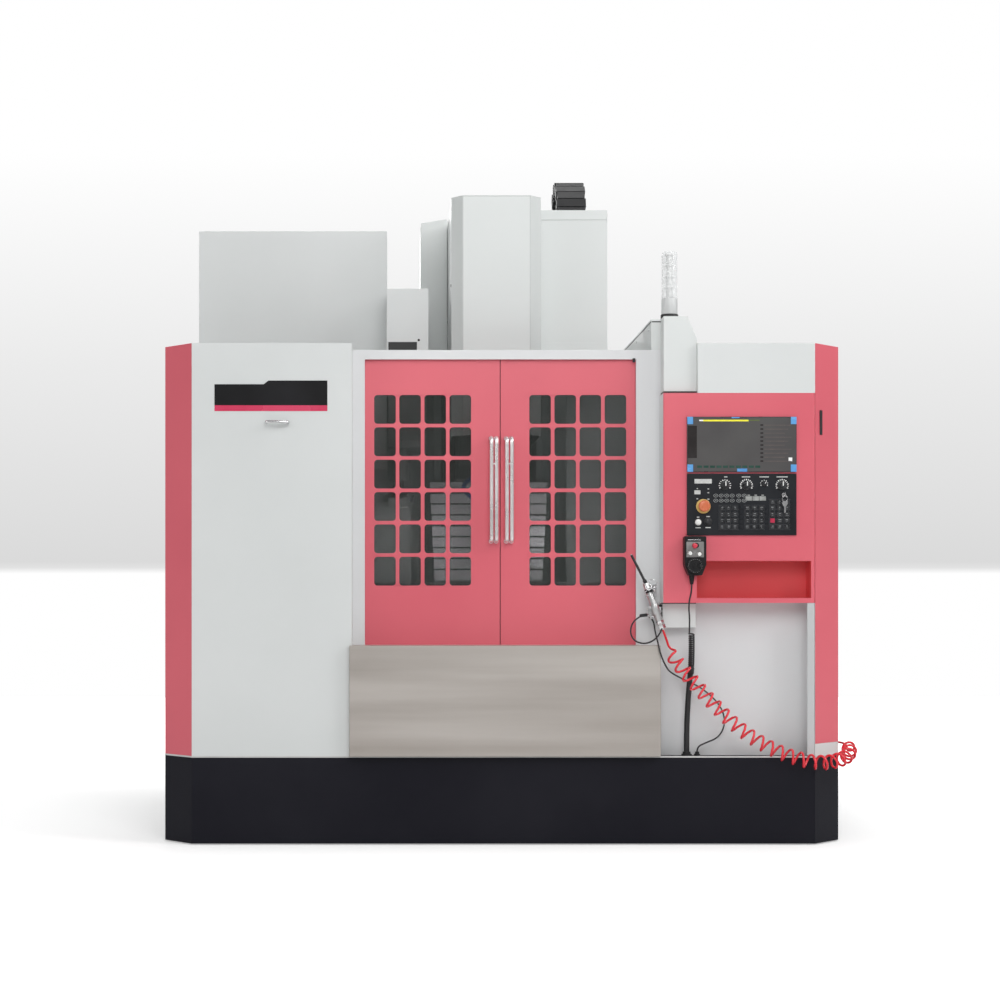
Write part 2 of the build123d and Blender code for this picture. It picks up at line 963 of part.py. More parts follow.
cabinet_left = 330.0
cabinet_right = 1150.0
cabinet_bottom = 420.0
cabinet_top = 2050.0
cabinet_door_thick = 11.0
hinge_radius = 8.0
hinge_pin = 4.0
cabinet_rear = rear - cabinet_door_thick - seat_gap
hinge_x = cabinet_right + hinge_radius
hinge_y = rear - hinge_radius - 2
cabinet = block(cabinet_left, cabinet_right, back_face, cabinet_rear, cabinet_bottom, cabinet_top)
cabinet -= block(
    cabinet_left + sheet,
    cabinet_right - sheet,
    back_face + sheet,
    cabinet_rear + 1,
    cabinet_bottom + sheet,
    cabinet_top - sheet,
)
unit_bottom = cabinet_top - 700.0
unit_back = back_face + (cabinet_rear - back_face) * 0.43
rail_back = back_face + (cabinet_rear - back_face) * 0.18
for n, (unit_width, unit_height) in enumerate(((90, 360), (90, 360), (90, 360), (150, 300))):
    unit_x = cabinet_left + 90 + n * 170
    cabinet += block(
        unit_x, unit_x + unit_width, back_face + sheet, unit_back, unit_bottom, unit_bottom + unit_height
    )
for n in range(2):
    rail_z = cabinet_bottom + 380 + n * 300
    cabinet += block(
        cabinet_left + 80, cabinet_right - 80, back_face + sheet, rail_back, rail_z, rail_z + 90
    )
cabinet_door = block(
    cabinet_left, cabinet_right, rear - cabinet_door_thick, rear, cabinet_bottom, cabinet_top
)
for hinge_z in (cabinet_bottom + 150, cabinet_top - 250):
    cabinet += rod((hinge_x, hinge_y, hinge_z - 8), (hinge_x, hinge_y, hinge_z - seat_gap), hinge_radius)
    cabinet += rod((hinge_x, hinge_y, hinge_z - 8), (hinge_x, hinge_y, hinge_z + 60), hinge_pin)
    cabinet += block(
        cabinet_right - sheet, hinge_x, hinge_y - 30, cabinet_rear, hinge_z - 8, hinge_z - seat_gap
    )
    knuckle = rod((hinge_x, hinge_y, hinge_z), (hinge_x, hinge_y, hinge_z + 60), hinge_radius)
    knuckle += block(cabinet_right - 1, hinge_x, rear - cabinet_door_thick, rear - 3, hinge_z, hinge_z + 60)
    cabinet_door += knuckle
    cabinet_door -= rod(
        (hinge_x, hinge_y, hinge_z - 1), (hinge_x, hinge_y, hinge_z + 61), hinge_pin + shaft_gap
    )
write("electrical_cabinet", cabinet)
for n in range(6):
    slot_z = cabinet_bottom + 120 + n * 30
    cabinet_door -= block(cabinet_left + 260, cabinet_left + 560, rear - 4, rear + 1, slot_z, slot_z + 12)
write("cabinet_door", cabinet_door)

# Column cover: a shroud round the column's upper part with a bracket for the drag chain

cover_top = column_top + 325.0
cover_half = column_half + sheet
cover_gap = 215.0
chain_left = 274.0
chain_right = 398.0
chain_rear = 1150.0
chain_foot = head_cover_top - 466.0


def shroud_outline(inset):
    """The column cover's outline from above, moved inwards."""
    slant = inset * tan(radians(22.5))
    return [
        (-cover_half + inset, front + bed_back + sheet - inset),
        (-cover_half + inset, front + cover_front + cover_chamfer + slant),
        (-cover_half + cover_chamfer + slant, front + cover_front + inset),
        (cover_half - cover_chamfer - slant, front + cover_front + inset),
        (cover_half - inset, front + cover_front + cover_chamfer + slant),
        (cover_half - inset, front + bed_back + sheet - inset),
    ]


shroud = plan(shroud_outline(0), cover_bottom, cover_top)
shroud -= plan(shroud_outline(sheet), cover_bottom - 1, cover_top - sheet)
shroud -= block(
    -cover_gap,
    cover_gap,
    front + cover_front - 1,
    front + cover_front + 20,
    cover_bottom - 1,
    cover_top - sheet,
)
shroud += block(
    cover_half, chain_right, front + chain_rear - 40, column_face + 160, chain_foot - 12, chain_foot
)
write("column_cover", shroud)

# Motors of the Y and Z screws

y_motor_half = 58.0
y_motor_front = front + y_screw_back + bearing_step + bearing_thick
y_motor_back = y_motor_front + 160
y_motor_top = y_screw_z + y_motor_half
y_motor_flange = y_motor_half + 8
y_motor = block(-y_motor_half, y_motor_half, y_motor_front, y_motor_back, trough_floor, y_motor_top)
y_motor += block(
    -y_motor_flange, y_motor_flange, y_motor_front, y_motor_front + 12, trough_floor, y_motor_top + 4
)
z_motor_foot = column_top + bracket_thick
z_motor_top = column_top + 190
z_motor_front = z_screw_y - motor_half
z_motor = block(-motor_half, motor_half, z_motor_front, z_screw_y + motor_half, z_motor_foot, z_motor_top)
z_motor = chamfer(z_motor.edges().filter_by(Axis.Z), 12)
z_motor += rod((0, z_screw_y, z_motor_top), (0, z_screw_y, z_motor_top + 30), 48)
write("axis_motors", y_motor, z_motor)

# Ball screws with their journals


def ball_screw(start, end, along, radius, journal, tail):
    """A screw between two journals, along a direction."""
    step = Vector(*along) * tail
    return rod(start, end, radius) + rod(Vector(*start) - step, Vector(*end) + step, journal)


screw_tail = bearing_thick + bearing_step
write(
    "y_screw",
    ball_screw(
        (0, front + y_screw_front, y_screw_z),
        (0, front + y_screw_back, y_screw_z),
        (0, 1, 0),
        screw_radius,
        journal_radius,
        screw_tail - seat_gap,
    ),
)
write(
    "z_screw",
    ball_screw(
        (0, z_screw_y, z_bearing_low + bearing_thick + bearing_step),
        (0, z_screw_y, z_bearing_high - bearing_step),
        (0, 0, 1),
        screw_radius,
        journal_radius,
        screw_tail - seat_gap,
    ),
)

# Saddle: a casting with wings under the table, its carriages, screw bearings, X rails and X motor

saddle_half = saddle_length / 2
wing_start = 330.0
wing_bottom = 790.0
x_screw_z = 860.0
x_trough = 60.0
x_trough_floor = 800.0
carriage_half = 40.0
carriage_length = 110.0
x_screw_end = saddle_half - 41.0
saddle_front = spindle_y - saddle_width / 2
saddle_back = spindle_y + saddle_width / 2
saddle = face_on(
    [
        (-wing_start, saddle_bottom),
        (-saddle_half, wing_bottom),
        (-saddle_half, saddle_top),
        (saddle_half, saddle_top),
        (saddle_half, wing_bottom),
        (wing_start, saddle_bottom),
    ],
    saddle_front,
    saddle_back,
)
saddle -= block(
    -saddle_half - 1,
    saddle_half + 1,
    spindle_y - x_trough,
    spindle_y + x_trough,
    x_trough_floor,
    saddle_top + 1,
)
for way_side in (-1, 1):
    for way_end in (-1, 1):
        x = way_side * y_rail_pitch / 2
        y = spindle_y + way_end * (saddle_width / 2 - carriage_length / 2)
        saddle += block(
            x - carriage_half,
            x + carriage_half,
            y - carriage_length / 2,
            y + carriage_length / 2,
            bed_top + 8,
            saddle_bottom,
        )
    saddle -= block(
        way_side * y_rail_pitch / 2 - y_rail_width / 2 - rail_gap,
        way_side * y_rail_pitch / 2 + y_rail_width / 2 + rail_gap,
        saddle_front - 1,
        saddle_back + 1,
        bed_top,
        bed_top + y_rail_height + rail_gap,
    )
nut_half = 45.0
saddle += block(
    -nut_half, nut_half, spindle_y - nut_half, spindle_y + nut_half, y_screw_z - 38, saddle_bottom
)
saddle -= rod(
    (0, spindle_y - nut_half - 1, y_screw_z),
    (0, spindle_y + nut_half + 1, y_screw_z),
    screw_radius + shaft_gap,
)
x_rails = []
for way_side in (-1, 1):
    y = spindle_y + way_side * x_rail_pitch / 2
    x_rails.append(
        block(
            -saddle_half,
            saddle_half,
            y - x_rail_width / 2,
            y + x_rail_width / 2,
            saddle_top,
            saddle_top + x_rail_height,
        )
    )
    bearing_x = way_side * (x_screw_end + bearing_step)
    near, far = sorted((bearing_x, way_side * saddle_half))
    saddle += block(
        near, far, spindle_y - nut_half, spindle_y + nut_half, x_trough_floor, x_screw_z + 45
    )
saddle -= rod(
    (-saddle_half - 1, spindle_y, x_screw_z),
    (saddle_half + 1, spindle_y, x_screw_z),
    x_journal_radius + shaft_gap,
)
x_motor_half = 54.0
x_motor = block(
    saddle_half + 0.5,
    saddle_half + 150,
    spindle_y - x_motor_half,
    spindle_y + x_motor_half,
    x_screw_z - x_motor_half,
    x_screw_z + x_motor_half,
)
write("saddle", saddle, *x_rails, x_motor)
write(
    "x_screw",
    ball_screw(
        (-x_screw_end, spindle_y, x_screw_z),
        (x_screw_end, spindle_y, x_screw_z),
        (1, 0, 0),
        x_screw_radius,
        x_journal_radius,
        saddle_half - x_screw_end - seat_gap,
    ),
)

# Table with T-slots along X, its carriages and the X nut

table_half = table_length / 2
table_carriage_half = 30.0
table_carriage_x = saddle_half - travel_x - table_carriage_half
table_front = spindle_y - table_width / 2
table_back = spindle_y + table_width / 2
table = block(-table_half, table_half, table_front, table_back, table_bottom, table_top)
for n in range(slot_count):
    y = spindle_y + (n - (slot_count - 1) / 2) * slot_pitch
    table -= side(
        [
            (y - slot_width / 2, table_top + 1),
            (y - slot_width / 2, table_top - slot_neck),
            (y - slot_foot_width / 2, table_top - slot_neck),
            (y - slot_foot_width / 2, table_top - slot_neck - slot_foot),
            (y + slot_foot_width / 2, table_top - slot_neck - slot_foot),
            (y + slot_foot_width / 2, table_top - slot_neck),
            (y + slot_width / 2, table_top - slot_neck),
            (y + slot_width / 2, table_top + 1),
        ],
        -table_half - 1,
        table_half + 1,
    )
for way_side in (-1, 1):
    y = spindle_y + way_side * x_rail_pitch / 2
    for way_end in (-1, 1):
        x0 = way_end * table_carriage_x - table_carriage_half
        x1 = way_end * table_carriage_x + table_carriage_half
        table += block(x0, x1, y - 35, y + 35, saddle_top + 7, table_bottom)
    table -= block(
        -table_half,
        table_half,
        y - x_rail_width / 2 - rail_gap,
        y + x_rail_width / 2 + rail_gap,
        saddle_top,
        saddle_top + x_rail_height + rail_gap,
    )
table += block(-50, 50, spindle_y - nut_half, spindle_y + nut_half, x_screw_z - 48, table_bottom)
table -= rod((-51, spindle_y, x_screw_z), (51, spindle_y, x_screw_z), x_screw_radius + shaft_gap)
write("work_table", table)

# Head casting with its carriages, Z nut and spindle bore

carriage_rise = 180.0
carriage_mid = (head_foot + head_top) / 2
head = side(
    [
        (front + head_back, head_foot),
        (front + head_back, head_top),
        (spindle_y - head_half, head_top),
        (spindle_y - head_half, nose_height + 190),
        (spindle_y - 105, nose_height + 110),
        (spindle_y + 105, nose_height + 110),
        (spindle_y + 260, head_foot),
    ],
    -head_half,
    head_half,
)
head = fillet(head.edges().filter_by(Axis.Z).group_by(Axis.Y)[0], 60)
head += block(
    -z_rail_pitch / 2 - carriage_half,
    z_rail_pitch / 2 + carriage_half,
    front + head_back - 40,
    front + head_back,
    head_foot,
    head_top,
)
head += rod((0, spindle_y, nose_height + 12), (0, spindle_y, nose_height + 200), 85)
for way_side in (-1, 1):
    x = way_side * z_rail_pitch / 2
    for way_end in (-1, 1):
        z = carriage_mid + way_end * carriage_rise
        head += block(
            x - carriage_half, x + carriage_half, front + head_back, column_face - 8, z - 45, z + 45
        )
    head -= block(
        x - z_rail_width / 2 - rail_gap,
        x + z_rail_width / 2 + rail_gap,
        column_face - z_rail_height - rail_gap,
        column_face,
        head_foot,
        head_top,
    )
head += block(-40, 40, front + head_back, column_face + 10, carriage_mid - 50, carriage_mid + 50)
head -= rod((0, z_screw_y, carriage_mid - 51), (0, z_screw_y, carriage_mid + 51), screw_radius + shaft_gap)
spindle_top = head_top - 60
head -= rod((0, spindle_y, nose_height), (0, spindle_y, spindle_top + 2), spindle_radius + shaft_gap)
write("head_casting", head)

taper_mouth = 22.2
taper_depth = 65.4
taper_end = taper_mouth - taper_depth * 7 / 48
spindle = turned(
    [
        (taper_mouth, nose_height),
        (spindle_radius, nose_height),
        (spindle_radius, spindle_top),
        (0, spindle_top),
        (0, nose_height + taper_depth + 20),
        (taper_end, nose_height + taper_depth + 20),
        (taper_end, nose_height + taper_depth),
    ],
    0,
    spindle_y,
)
for key_side in (-1, 1):
    near, far = sorted((key_side * (taper_mouth + 4), key_side * (spindle_radius - 4)))
    spindle += block(near, far, spindle_y - 8, spindle_y + 8, nose_height - 8, nose_height)
write("spindle", spindle)

motor_top = head_top + 430.0
motor_body = 100.0
spindle_motor = block(-110, 110, spindle_y - 110, spindle_y + 110, head_top, head_top + 25)
spindle_motor += rod((0, spindle_y, head_top + 25), (0, spindle_y, motor_top), motor_body)
write("spindle_motor", spindle_motor)


def head_cover_outline(inset, back):
    """The head cover's outline from above, with chamfered front corners."""
    slant = inset * tan(radians(22.5))
    return [
        (-head_cover_half + inset, front + back),
        (-head_cover_half + inset, front + head_cover_front + head_cover_chamfer + slant),
        (-head_cover_half + head_cover_chamfer + slant, front + head_cover_front + inset),
        (head_cover_half - head_cover_chamfer - slant, front + head_cover_front + inset),
        (head_cover_half - inset, front + head_cover_front + head_cover_chamfer + slant),
        (head_cover_half - inset, front + back),
    ]


head_cover = plan(head_cover_outline(0, head_cover_back), head_cover_bottom, head_cover_top)
head_cover -= plan(
    head_cover_outline(sheet, head_cover_back + 1), head_cover_bottom - 1, head_cover_top - sheet
)
for ear_side in (-1, 1):
    near, far = sorted((ear_side * head_half, ear_side * (head_cover_half - sheet)))
    head_cover += block(near, far, spindle_y + 100, spindle_y + 160, head_top - 80, head_top - 40)
write("head_cover", head_cover)

box_right = 474.0
box_front = 700.0
box_back = 1100.0
box_bottom = head_top + 100.0
box_top = head_cover_top - 17.0
lid_height = 40.0
lid_bottom = box_top - lid_height
lid_seam = 3.0
side_box = block(
    head_cover_half, box_right, front + box_front, front + box_back, box_bottom, lid_bottom - lid_seam
)
side_box -= block(
    head_cover_half - 1,
    box_right - sheet,
    front + box_front + sheet,
    front + box_back - sheet,
    box_bottom + sheet,
    lid_bottom - lid_seam - sheet,
)
side_box += block(
    head_cover_half,
    box_right - lid_seam,
    front + box_front + lid_seam,
    front + box_back - lid_seam,
    lid_bottom - lid_seam,
    lid_bottom,
)
side_box += block(head_cover_half, box_right, front + box_front, front + box_back, lid_bottom, box_top)
write("head_side_box", side_box)

# Drag chain: links over a half circle and down to the bracket behind

chain_radius = 150.0
chain_thick = 54.0
chain_y = front + chain_rear - chain_radius
links = []
arc_links = 8
link_gap = 0.1
for n in range(arc_links):
    a0 = pi * n / arc_links + link_gap / chain_radius
    a1 = pi * (n + 1) / arc_links - link_gap / chain_radius
    corners = []
    for angle, r in (
        (a0, chain_radius + chain_thick / 2),
        (a1, chain_radius + chain_thick / 2),
        (a1, chain_radius - chain_thick / 2),
        (a0, chain_radius - chain_thick / 2),
    ):
        corners.append((chain_y - r * cos(angle), box_top + r * sin(angle)))
    links.append(side(corners, chain_left, chain_right))
straight_links = 8
link_pitch = (box_top - chain_foot) / straight_links
for n in range(straight_links):
    z = chain_foot + n * link_pitch
    links.append(
        block(
            chain_left,
            chain_right,
            chain_y + chain_radius - chain_thick / 2,
            chain_y + chain_radius + chain_thick / 2,
            z + (0 if n == 0 else link_gap),
            z + link_pitch - link_gap,
        )
    )
write("drag_chain", *links)

# Telescopic cover in front of the column, each plate over the one below

z_plates = []
z_plate_count = 9
z_pitch = (head_foot - z_cover_bottom) / z_plate_count
z_overlap = 14.0
leaf = 2.0
for n in range(z_plate_count):
    half_width = z_cover_half + n * z_cover_step
    y = front + z_cover_deep - n * (leaf + 0.5) - leaf
    z0 = z_cover_bottom + n * z_pitch
    z1 = z0 + z_pitch + (z_overlap if n < z_plate_count - 1 else 0)
    leaf_plan = [
        (-half_width, column_face - 6),
        (-half_width, y),
        (half_width, y),
        (half_width, column_face - 6),
        (half_width - leaf, column_face - 6),
        (half_width - leaf, y + leaf),
        (-half_width + leaf, y + leaf),
        (-half_width + leaf, column_face - 6),
    ]
    z_plates.append(plan(leaf_plan, z0, z1))
write("z_cover", *z_plates)

# Telescopic covers of the Y ways, in front of and behind the saddle

y_plates = []
y_plate_count = 6
y_half = 300.0
y_side_z = 735.0
y_ridge_z = 760.0


def roof_leaf(n, y0, y1):
    """One telescopic leaf over the Y ways: two side walls and a shallow gable."""
    w = y_half + n * z_cover_step
    low = y_side_z + n * (leaf + 0.6)
    high = y_ridge_z + n * (leaf + 0.6)
    return face_on(
        [
            (-w, bed_top + 10),
            (-w, low),
            (0, high),
            (w, low),
            (w, bed_top + 10),
            (w - leaf, bed_top + 10),
            (w - leaf, low - leaf),
            (0, high - leaf),
            (-w + leaf, low - leaf),
            (-w + leaf, bed_top + 10),
        ],
        y0,
        y1,
    )


front_pitch = (saddle_front - (front + bed_front)) / y_plate_count
back_pitch = (front + liner_back - 6 - saddle_back) / y_plate_count
for n in range(y_plate_count):
    y0 = front + bed_front + n * front_pitch
    y_plates.append(roof_leaf(n, y0, min(y0 + front_pitch + z_overlap, saddle_front)))
    y1 = front + liner_back - 6 - n * back_pitch
    y_plates.append(roof_leaf(n, max(y1 - back_pitch - z_overlap, saddle_back), y1))
write("y_covers", *y_plates)

# Small chrome pull on the left panel

pull_left = -907.0
pull_right = -812.0
pull_z = 1606.0
pull_rod = 6.0
pull_path = FilletPolyline(
    (pull_left + pull_rod, front, pull_z),
    (pull_left + pull_rod, front - 28, pull_z),
    (pull_right - pull_rod, front - 28, pull_z),
    (pull_right - pull_rod, front, pull_z),
    radius=10,
)
pull = sweep(Plane(origin=pull_path @ 0, z_dir=pull_path % 0) * Circle(pull_rod), pull_path)

# Handwheel pendant hung on the control box

pendant_left = 682.0
pendant_right = 764.0
pendant_bottom = 1024.0
pendant_top = 1172.0
pendant_thick = 46.0
pendant_face = front - pendant_thick
pendant = face_on(
    [
        (pendant_left, pendant_bottom + 40),
        (pendant_left, pendant_top),
        (pendant_right, pendant_top),
        (pendant_right, pendant_bottom + 40),
        (pendant_right - 16, pendant_bottom),
        (pendant_left + 16, pendant_bottom),
    ],
    pendant_face,
    front,
)
pendant = fillet(pendant.edges().filter_by(Axis.Y), 6)
pendant_cord_x = 712.0
pendant_cord_y = front - 24.0
gland_drop = 34.0
pendant += turned(
    [
        (0, pendant_bottom - gland_drop),
        (6, pendant_bottom - gland_drop),
        (10, pendant_bottom - 6),
        (10, pendant_bottom + 10),
        (0, pendant_bottom + 10),
    ],
    pendant_cord_x,
    pendant_cord_y,
)
pendant_knobs = [(701.0, 1107.0), (736.0, 1104.0)]
for x, z in pendant_knobs:
    pendant += rod((x, pendant_face, z), (x, pendant_face - 14, z), 9)
pendant_stop_x = 724.0
pendant_stop_z = 1137.0
pendant += rod(
    (pendant_stop_x, pendant_face, pendant_stop_z), (pendant_stop_x, pendant_face - 16, pendant_stop_z), 10
)
dial_x = 720.0
dial_z = 1060.0
dial_pin = 8.0
dial_pin_reach = 10.0
dial_face = front - pendant_reach + 8
pendant += rod((dial_x, pendant_face, dial_z), (dial_x, pendant_face - dial_pin_reach, dial_z), dial_pin)
write("pendant_body", pendant)
dial = rod((dial_x, pendant_face - seat_gap, dial_z), (dial_x, dial_face, dial_z), 30)
dial += rod((dial_x + 18, dial_face, dial_z), (dial_x + 18, front - pendant_reach, dial_z), 5)
dial -= rod(
    (dial_x, pendant_face, dial_z),
    (dial_x, pendant_face - dial_pin_reach - seat_gap, dial_z),
    dial_pin + shaft_gap,
)
write("pendant_dial", dial)

# Air gun on its hook, with its trigger

gun_y = front + 30.0
gun_base = (610.0, gun_y, 818.0)
gun_head = (545.0, gun_y, 996.0)
gun_tip = (489.0, gun_y, 1105.0)
gun = rod(gun_base, gun_head, 13)
gun += rod(gun_head, gun_tip, 4)
gun_axis = (Vector(*gun_head) - Vector(*gun_base)).normalized()


def gun_point(along, out):
    """A point of the gun's side view: along its body from the hose end, and out towards the trigger."""
    spot = Vector(*gun_base) + gun_axis * along
    return (spot.X - gun_axis.Z * out, spot.Z + gun_axis.X * out)


def gun_prism(points, half_thick):
    """A plate in the gun's side view, from (along, out) points."""
    return face_on([gun_point(*p) for p in points], gun_y - half_thick, gun_y + half_thick)


bulge_start, bulge_end = gun_point(62, 0), gun_point(104, 0)
gun += rod((bulge_start[0], gun_y, bulge_start[1]), (bulge_end[0], gun_y, bulge_end[1]), 17)
trigger_x, trigger_z = gun_point(93, 24)
trigger_half = 4.5
trigger_pin = 2.0
lug = gun_prism([(87, 8), (87, 29), (99, 29), (99, 8)], 8)
lug -= gun_prism([(80, 17.3), (80, 32), (105, 32), (105, 17.3)], trigger_half + seat_gap)
gun += lug
gun += rod((trigger_x, gun_y - 8, trigger_z), (trigger_x, gun_y + 8, trigger_z), trigger_pin)
write("air_gun", gun)
trigger = gun_prism([(97, 20), (97, 28), (88, 29), (52, 31), (52, 25), (84, 20)], trigger_half)
trigger -= rod(
    (trigger_x, gun_y - 6, trigger_z), (trigger_x, gun_y + 6, trigger_z), trigger_pin + shaft_gap
)
write("gun_trigger", trigger)

# Cords. Each route is a list of points chosen by hand

lead_diameter = 6.0
air_diameter = 9.0
curl_diameter = 25.0
tail_diameter = 21.0
hose_diameter = 6.0
coil_diameter = 56.0

conduit_x = 704.0
hose_x = 744.0
gland_depth = 50.0
gland_top = base_height + 14
inlet_z = base_height + 39.0
inlet_y = front + 240.0

lead_route = [
    (pendant_cord_x, pendant_cord_y, pendant_bottom - gland_drop),
    (pendant_cord_x, front - 24, 965.0),
    (703.0, front - 24, 932.0),
    (701.0, front - 23, 896.0),
    (707.0, front - 20, 856.0),
    (713.0, front - 16, 826.0),
    (713.0, front - 12, 802.0),
]
curl_route = [(713.0, front - 12, 802.0), (717.0, front + 4, 740.0), (717.0, front + 24, 676.0)]
tail_top = curl_route[-1]
tail_route = [
    tail_top,
    (713.0, front + 50, 600.0),
    (708.0, front + 58, 500.0),
    (conduit_x, front + gland_depth, 420.0),
    (conduit_x, front + gland_depth, gland_top),
]
air_start_route = [gun_base, (619.6, gun_y, 791.7), (630.0, front + 29, 760.0)]
coil_route = [
    air_start_route[-1],
    (644.0, front + 18, 722.0),
    (668.0, front + 1, 684.0),
    (725.0, front - 24, 612.0),
    (800.0, front - 36, 528.0),
    (885.0, front - 42, 446.0),
    (975.0, front - 44, 386.0),
    (1075.0, front - 48, 340.0),
    (1195.0, front - 58, 312.0),
    (1312.0, front + 16, 330.0),
    (1354.0, front + 110, 358.0),
    (1352.0, front + 170, 366.0),
]
air_end_route = [
    coil_route[-1],
    (1351.0, front + 200, 369.0),
    (1344.0, front + 227, 371.0),
    (1325.0, inlet_y, inlet_z),
    (half, inlet_y, inlet_z),
]
hose_route = [
    (604.0, front + 13.5, 822.0),
    (594.0, front + 12, 792.0),
    (548.0, front + 12, 762.0),
    (500.0, front + 15, 772.0),
    (483.0, front + 22, 808.0),
    (496.0, front + 31, 850.0),
    (540.0, front + 44, 877.0),
    (577.0, front + 50, 858.0),
    (580.0, front + 20, 806.0),
    (583.0, front - 38, 766.0),
    (592.0, front - 47, 722.0),
    (612.0, front - 20, 684.0),
    (640.0, front + 52, 654.0),
    (700.0, front + 80, 624.0),
    (770.0, front + 79, 592.0),
    (838.0, front + 73, 528.0),
    (858.0, front + 70, 462.0),
    (828.0, front + 63, 408.0),
    (766.0, front + 52, 390.0),
    (hose_x, front + gland_depth, 368.0),
    (hose_x, front + gland_depth, gland_top),
]
write(
    "pendant_cord",
    cord("pendant lead", lead_route, lead_diameter),
    cord("conduit", tail_route, tail_diameter),
)
write("pendant_curl", cord("curly part", curl_route, curl_diameter))
write(
    "air_hose_coil",
    cord("air hose start", air_start_route, air_diameter),
    cord("air hose coil", coil_route, coil_diameter),
    cord("air hose end", air_end_route, air_diameter),
)
write("wash_hose", cord("wash hose", hose_route, hose_diameter))

# Hook for the gun, glands on the base and the air inlet on the right side

hook_x = 574.4
hook_z = 966.0
hook_path = FilletPolyline(
    (hook_x, wall_face - 3, hook_z),
    (hook_x, gun_y - 20, hook_z),
    (hook_x, gun_y - 20, hook_z + 16),
    radius=6,
)
hook = sweep(Plane(origin=hook_path @ 0, z_dir=hook_path % 0) * Circle(4), hook_path)
hook += block(hook_x - 20, hook_x + 20, wall_face - 3, wall_face, hook_z - 25, hook_z + 25)


def gland(x, foot_radius, neck_radius):
    """A cord gland on the base, under a cord's end."""
    return turned(
        [
            (0, base_height),
            (foot_radius, base_height),
            (foot_radius, base_height + 6),
            (neck_radius, gland_top),
            (0, gland_top),
        ],
        x,
        front + gland_depth,
    )


glands = [gland(conduit_x, 18, 13), gland(hose_x, 10, 6)]
inlet = rod((side_face, inlet_y, inlet_z), (half, inlet_y, inlet_z), 14)
write("pull_hook_and_fittings", pull, hook, *glands, inlet)
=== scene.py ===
"""A vertical machining centre of the 850 x 500 class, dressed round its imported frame, in metres, +Z up.

The sections follow the machine as it is put together: the stage, then the cords, the base with its
casting and screws, the enclosure, the doors, the cabin with the head in it, the covers on top, the
chain, the magazine, the control box, the pendant, the blow gun, the cable duct with its tower, and the
cabinet behind.
"""

import math
import random

import bmesh
import bpy
from mathutils import Matrix, Vector


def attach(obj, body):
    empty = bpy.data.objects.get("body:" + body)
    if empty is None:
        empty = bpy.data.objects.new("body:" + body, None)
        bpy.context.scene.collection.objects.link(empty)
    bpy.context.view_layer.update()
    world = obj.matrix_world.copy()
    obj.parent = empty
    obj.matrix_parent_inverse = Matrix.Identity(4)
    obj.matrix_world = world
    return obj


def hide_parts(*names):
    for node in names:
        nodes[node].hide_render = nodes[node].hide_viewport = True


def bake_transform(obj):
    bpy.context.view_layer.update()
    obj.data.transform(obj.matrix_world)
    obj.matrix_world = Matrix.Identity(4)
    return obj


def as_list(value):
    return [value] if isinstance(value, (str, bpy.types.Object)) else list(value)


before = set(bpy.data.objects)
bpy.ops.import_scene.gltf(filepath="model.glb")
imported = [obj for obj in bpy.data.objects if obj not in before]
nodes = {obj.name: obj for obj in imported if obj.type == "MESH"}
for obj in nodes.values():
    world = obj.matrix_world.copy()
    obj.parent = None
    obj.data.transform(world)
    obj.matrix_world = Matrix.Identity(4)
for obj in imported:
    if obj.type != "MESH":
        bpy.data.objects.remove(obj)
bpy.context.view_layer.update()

# The camera looks square at the front from about waist height, with the frame shifted so that the
# machine stands in the middle.


def placed(name, data):
    """An object that holds some data and stands in the scene."""
    piece = bpy.data.objects.new(name, data)
    bpy.context.scene.collection.objects.link(piece)
    return piece


camera_data = bpy.data.cameras.new("camera")
camera_data.lens = 66.3
camera_data.sensor_width = 36.0
camera_data.shift_x = 0.10
camera_data.shift_y = 0.095
camera = placed("camera", camera_data)
camera.location = (-0.393, -8.075, 0.950)
camera.rotation_euler = (math.radians(90), 0, 0)
bpy.context.scene.camera = camera
bpy.context.scene.view_settings.view_transform = "Standard"

# The floor and the backdrop are plain pale sheets. To the camera the floor grows whiter with depth, and
# the backdrop runs from a light grey at its foot to white.


def node(tree, kind, **settings):
    """A shader node with its sockets set. An underscore stands for the space in a socket's name."""
    made = tree.nodes.new("ShaderNode" + kind)
    for socket, value in settings.items():
        made.inputs[socket.replace("_", " ")].default_value = value
    return made


def wire_up(tree, *links):
    """Links, each from one node's output to another node's input."""
    for giver, output, taker, socket in links:
        tree.links.new(giver.outputs[output], taker.inputs[socket])


def shades(tree, stops):
    """A run of colours, each at its position."""
    ramp = node(tree, "ValToRGB")
    for n, (position, colour) in enumerate(stops):
        stop = ramp.color_ramp.elements[n] if n < 2 else ramp.color_ramp.elements.new(position)
        stop.position = position
        stop.color = (*colour, 1)
    return ramp


def stage_sheet(name, corners, roughness, axis, low, high):
    """A sheet of the stage, with a scale along one axis and a glow that the camera alone sees."""
    mesh = bpy.data.meshes.new(name)
    mesh.from_pydata(corners, [], [(0, 1, 2, 3)])
    mat = bpy.data.materials.new(name)
    mat.use_nodes = True
    mesh.materials.append(mat)
    tree = mat.node_tree
    shader = tree.nodes["Principled BSDF"]
    shader.inputs["Roughness"].default_value = roughness
    shader.inputs["Specular IOR Level"].default_value = 0.1
    place = node(tree, "TexCoord")
    split = node(tree, "SeparateXYZ")
    scale = node(tree, "MapRange", From_Min=low, From_Max=high)
    glow = node(tree, "Emission")
    seen = node(tree, "LightPath")
    mix = node(tree, "MixShader")
    wire_up(
        tree,
        (place, "Object", split, 0),
        (split, axis, scale, "Value"),
        (seen, "Is Camera Ray", mix, "Fac"),
        (shader, 0, mix, 1),
        (mix, 0, tree.nodes["Material Output"], "Surface"),
    )
    placed(name, mesh)
    return tree, shader, scale, glow, mix


